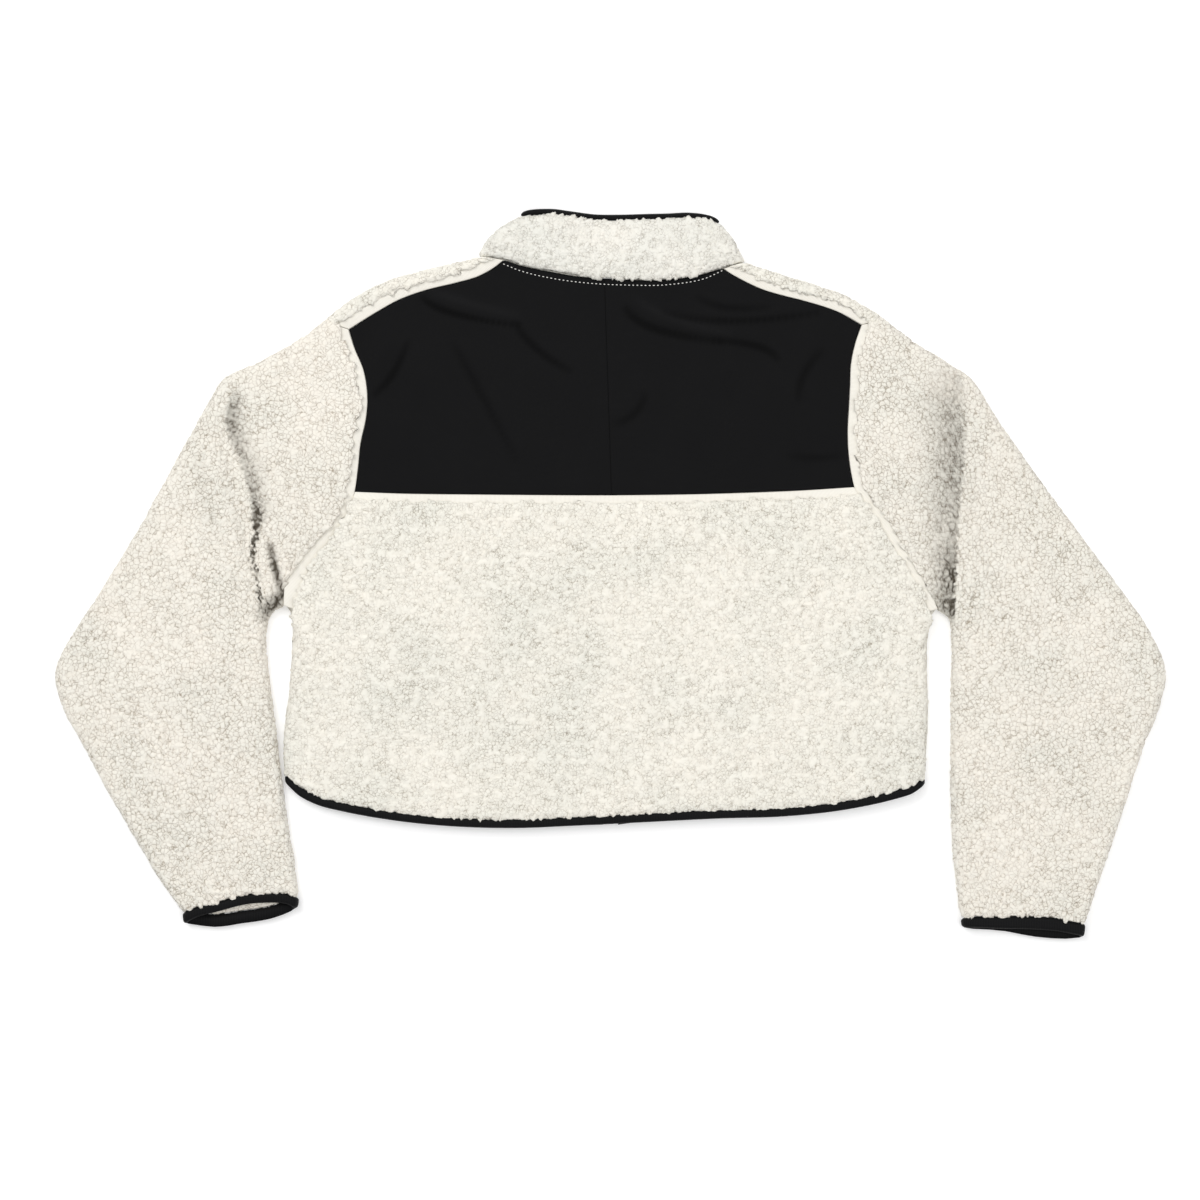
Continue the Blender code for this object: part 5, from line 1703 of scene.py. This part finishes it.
class JACKET_OT_tapes(bpy.types.Operator):
    """Lays the knitted tapes on the armhole, shoulder and yoke seams"""

    bl_idname = "jacket.tapes"
    bl_label = "Seam tapes"

    def execute(self, context):
        make_tapes()
        return {"FINISHED"}


class JACKET_OT_fronts(bpy.types.Operator):
    """Lays both fronts and turns them up over the shoulders"""

    bl_idname = "jacket.fronts"
    bl_label = "Fronts"

    def execute(self, context):
        for side in ("left", "right"):
            make_front(context.scene.jacket, side)
        return {"FINISHED"}


class JACKET_OT_sleeves(bpy.types.Operator):
    """Lays both sleeves, folded down beside the body"""

    bl_idname = "jacket.sleeves"
    bl_label = "Sleeves"

    def execute(self, context):
        for side in ("left", "right"):
            make_sleeve(context.scene.jacket, side)
        return {"FINISHED"}


class JACKET_OT_collar(bpy.types.Operator):
    """Lays the stand collar"""

    bl_idname = "jacket.collar"
    bl_label = "Collar"

    def execute(self, context):
        make_collar(context.scene.jacket)
        return {"FINISHED"}


class JACKET_OT_bindings(bpy.types.Operator):
    """Folds the elastic binding round the collar, the hem and the cuffs"""

    bl_idname = "jacket.bindings"
    bl_label = "Bindings"

    def execute(self, context):
        make_binding("collar_binding_rib", "collar_binding", collar_binding_grids(), False)
        make_binding("hem_binding_rib", "hem_binding", hem_binding_grids(), False)
        for side in ("left", "right"):
            make_binding(f"cuff_binding_{side}_rib", f"cuff_binding_{side}",
                         cuff_binding_grids(side), True)
        return {"FINISHED"}


class JACKET_OT_stitches(bpy.types.Operator):
    """Sews the row of topstitches under the collar"""

    bl_idname = "jacket.stitches"
    bl_label = "Neck topstitch"

    def execute(self, context):
        make_neck_stitches(context.scene.jacket)
        return {"FINISHED"}


class JACKET_OT_zip(bpy.types.Operator):
    """Closes the zip down the hidden centre front"""

    bl_idname = "jacket.zip"
    bl_label = "Zip"

    def execute(self, context):
        make_zip(context.scene.jacket)
        return {"FINISHED"}


class JACKET_OT_stage(bpy.types.Operator):
    """Sets the background paper, the lamps and the camera"""

    bl_idname = "jacket.stage"
    bl_label = "Stage"

    def execute(self, context):
        make_stage(context.scene.jacket, context)
        return {"FINISHED"}


OPERATORS = (
    JACKET_OT_stage,
    JACKET_OT_fronts,
    JACKET_OT_back_body,
    JACKET_OT_yokes,
    JACKET_OT_tapes,
    JACKET_OT_sleeves,
    JACKET_OT_collar,
    JACKET_OT_bindings,
    JACKET_OT_stitches,
    JACKET_OT_zip,
)


class JACKET_PT_panel(bpy.types.Panel):
    """The jacket's sizes, colours and pieces"""

    bl_label = "Jacket"
    bl_idname = "JACKET_PT_panel"
    bl_space_type = "VIEW_3D"
    bl_region_type = "UI"
    bl_category = "Jacket"

    def draw(self, context):
        for name in JacketSettings.__annotations__:
            self.layout.prop(context.scene.jacket, name)
        for operator in OPERATORS:
            self.layout.operator(operator.bl_idname)


def register():
    for kind in (JacketSettings, *OPERATORS, JACKET_PT_panel):
        bpy.utils.register_class(kind)
    bpy.types.Scene.jacket = bpy.props.PointerProperty(type=JacketSettings)


def unregister():
    del bpy.types.Scene.jacket
    for kind in reversed((JacketSettings, *OPERATORS, JACKET_PT_panel)):
        bpy.utils.unregister_class(kind)


def main():
    register()
    for operator in OPERATORS:
        group, action = operator.bl_idname.split(".")
        getattr(getattr(bpy.ops, group), action)()


if __name__ == "__main__":
    main()
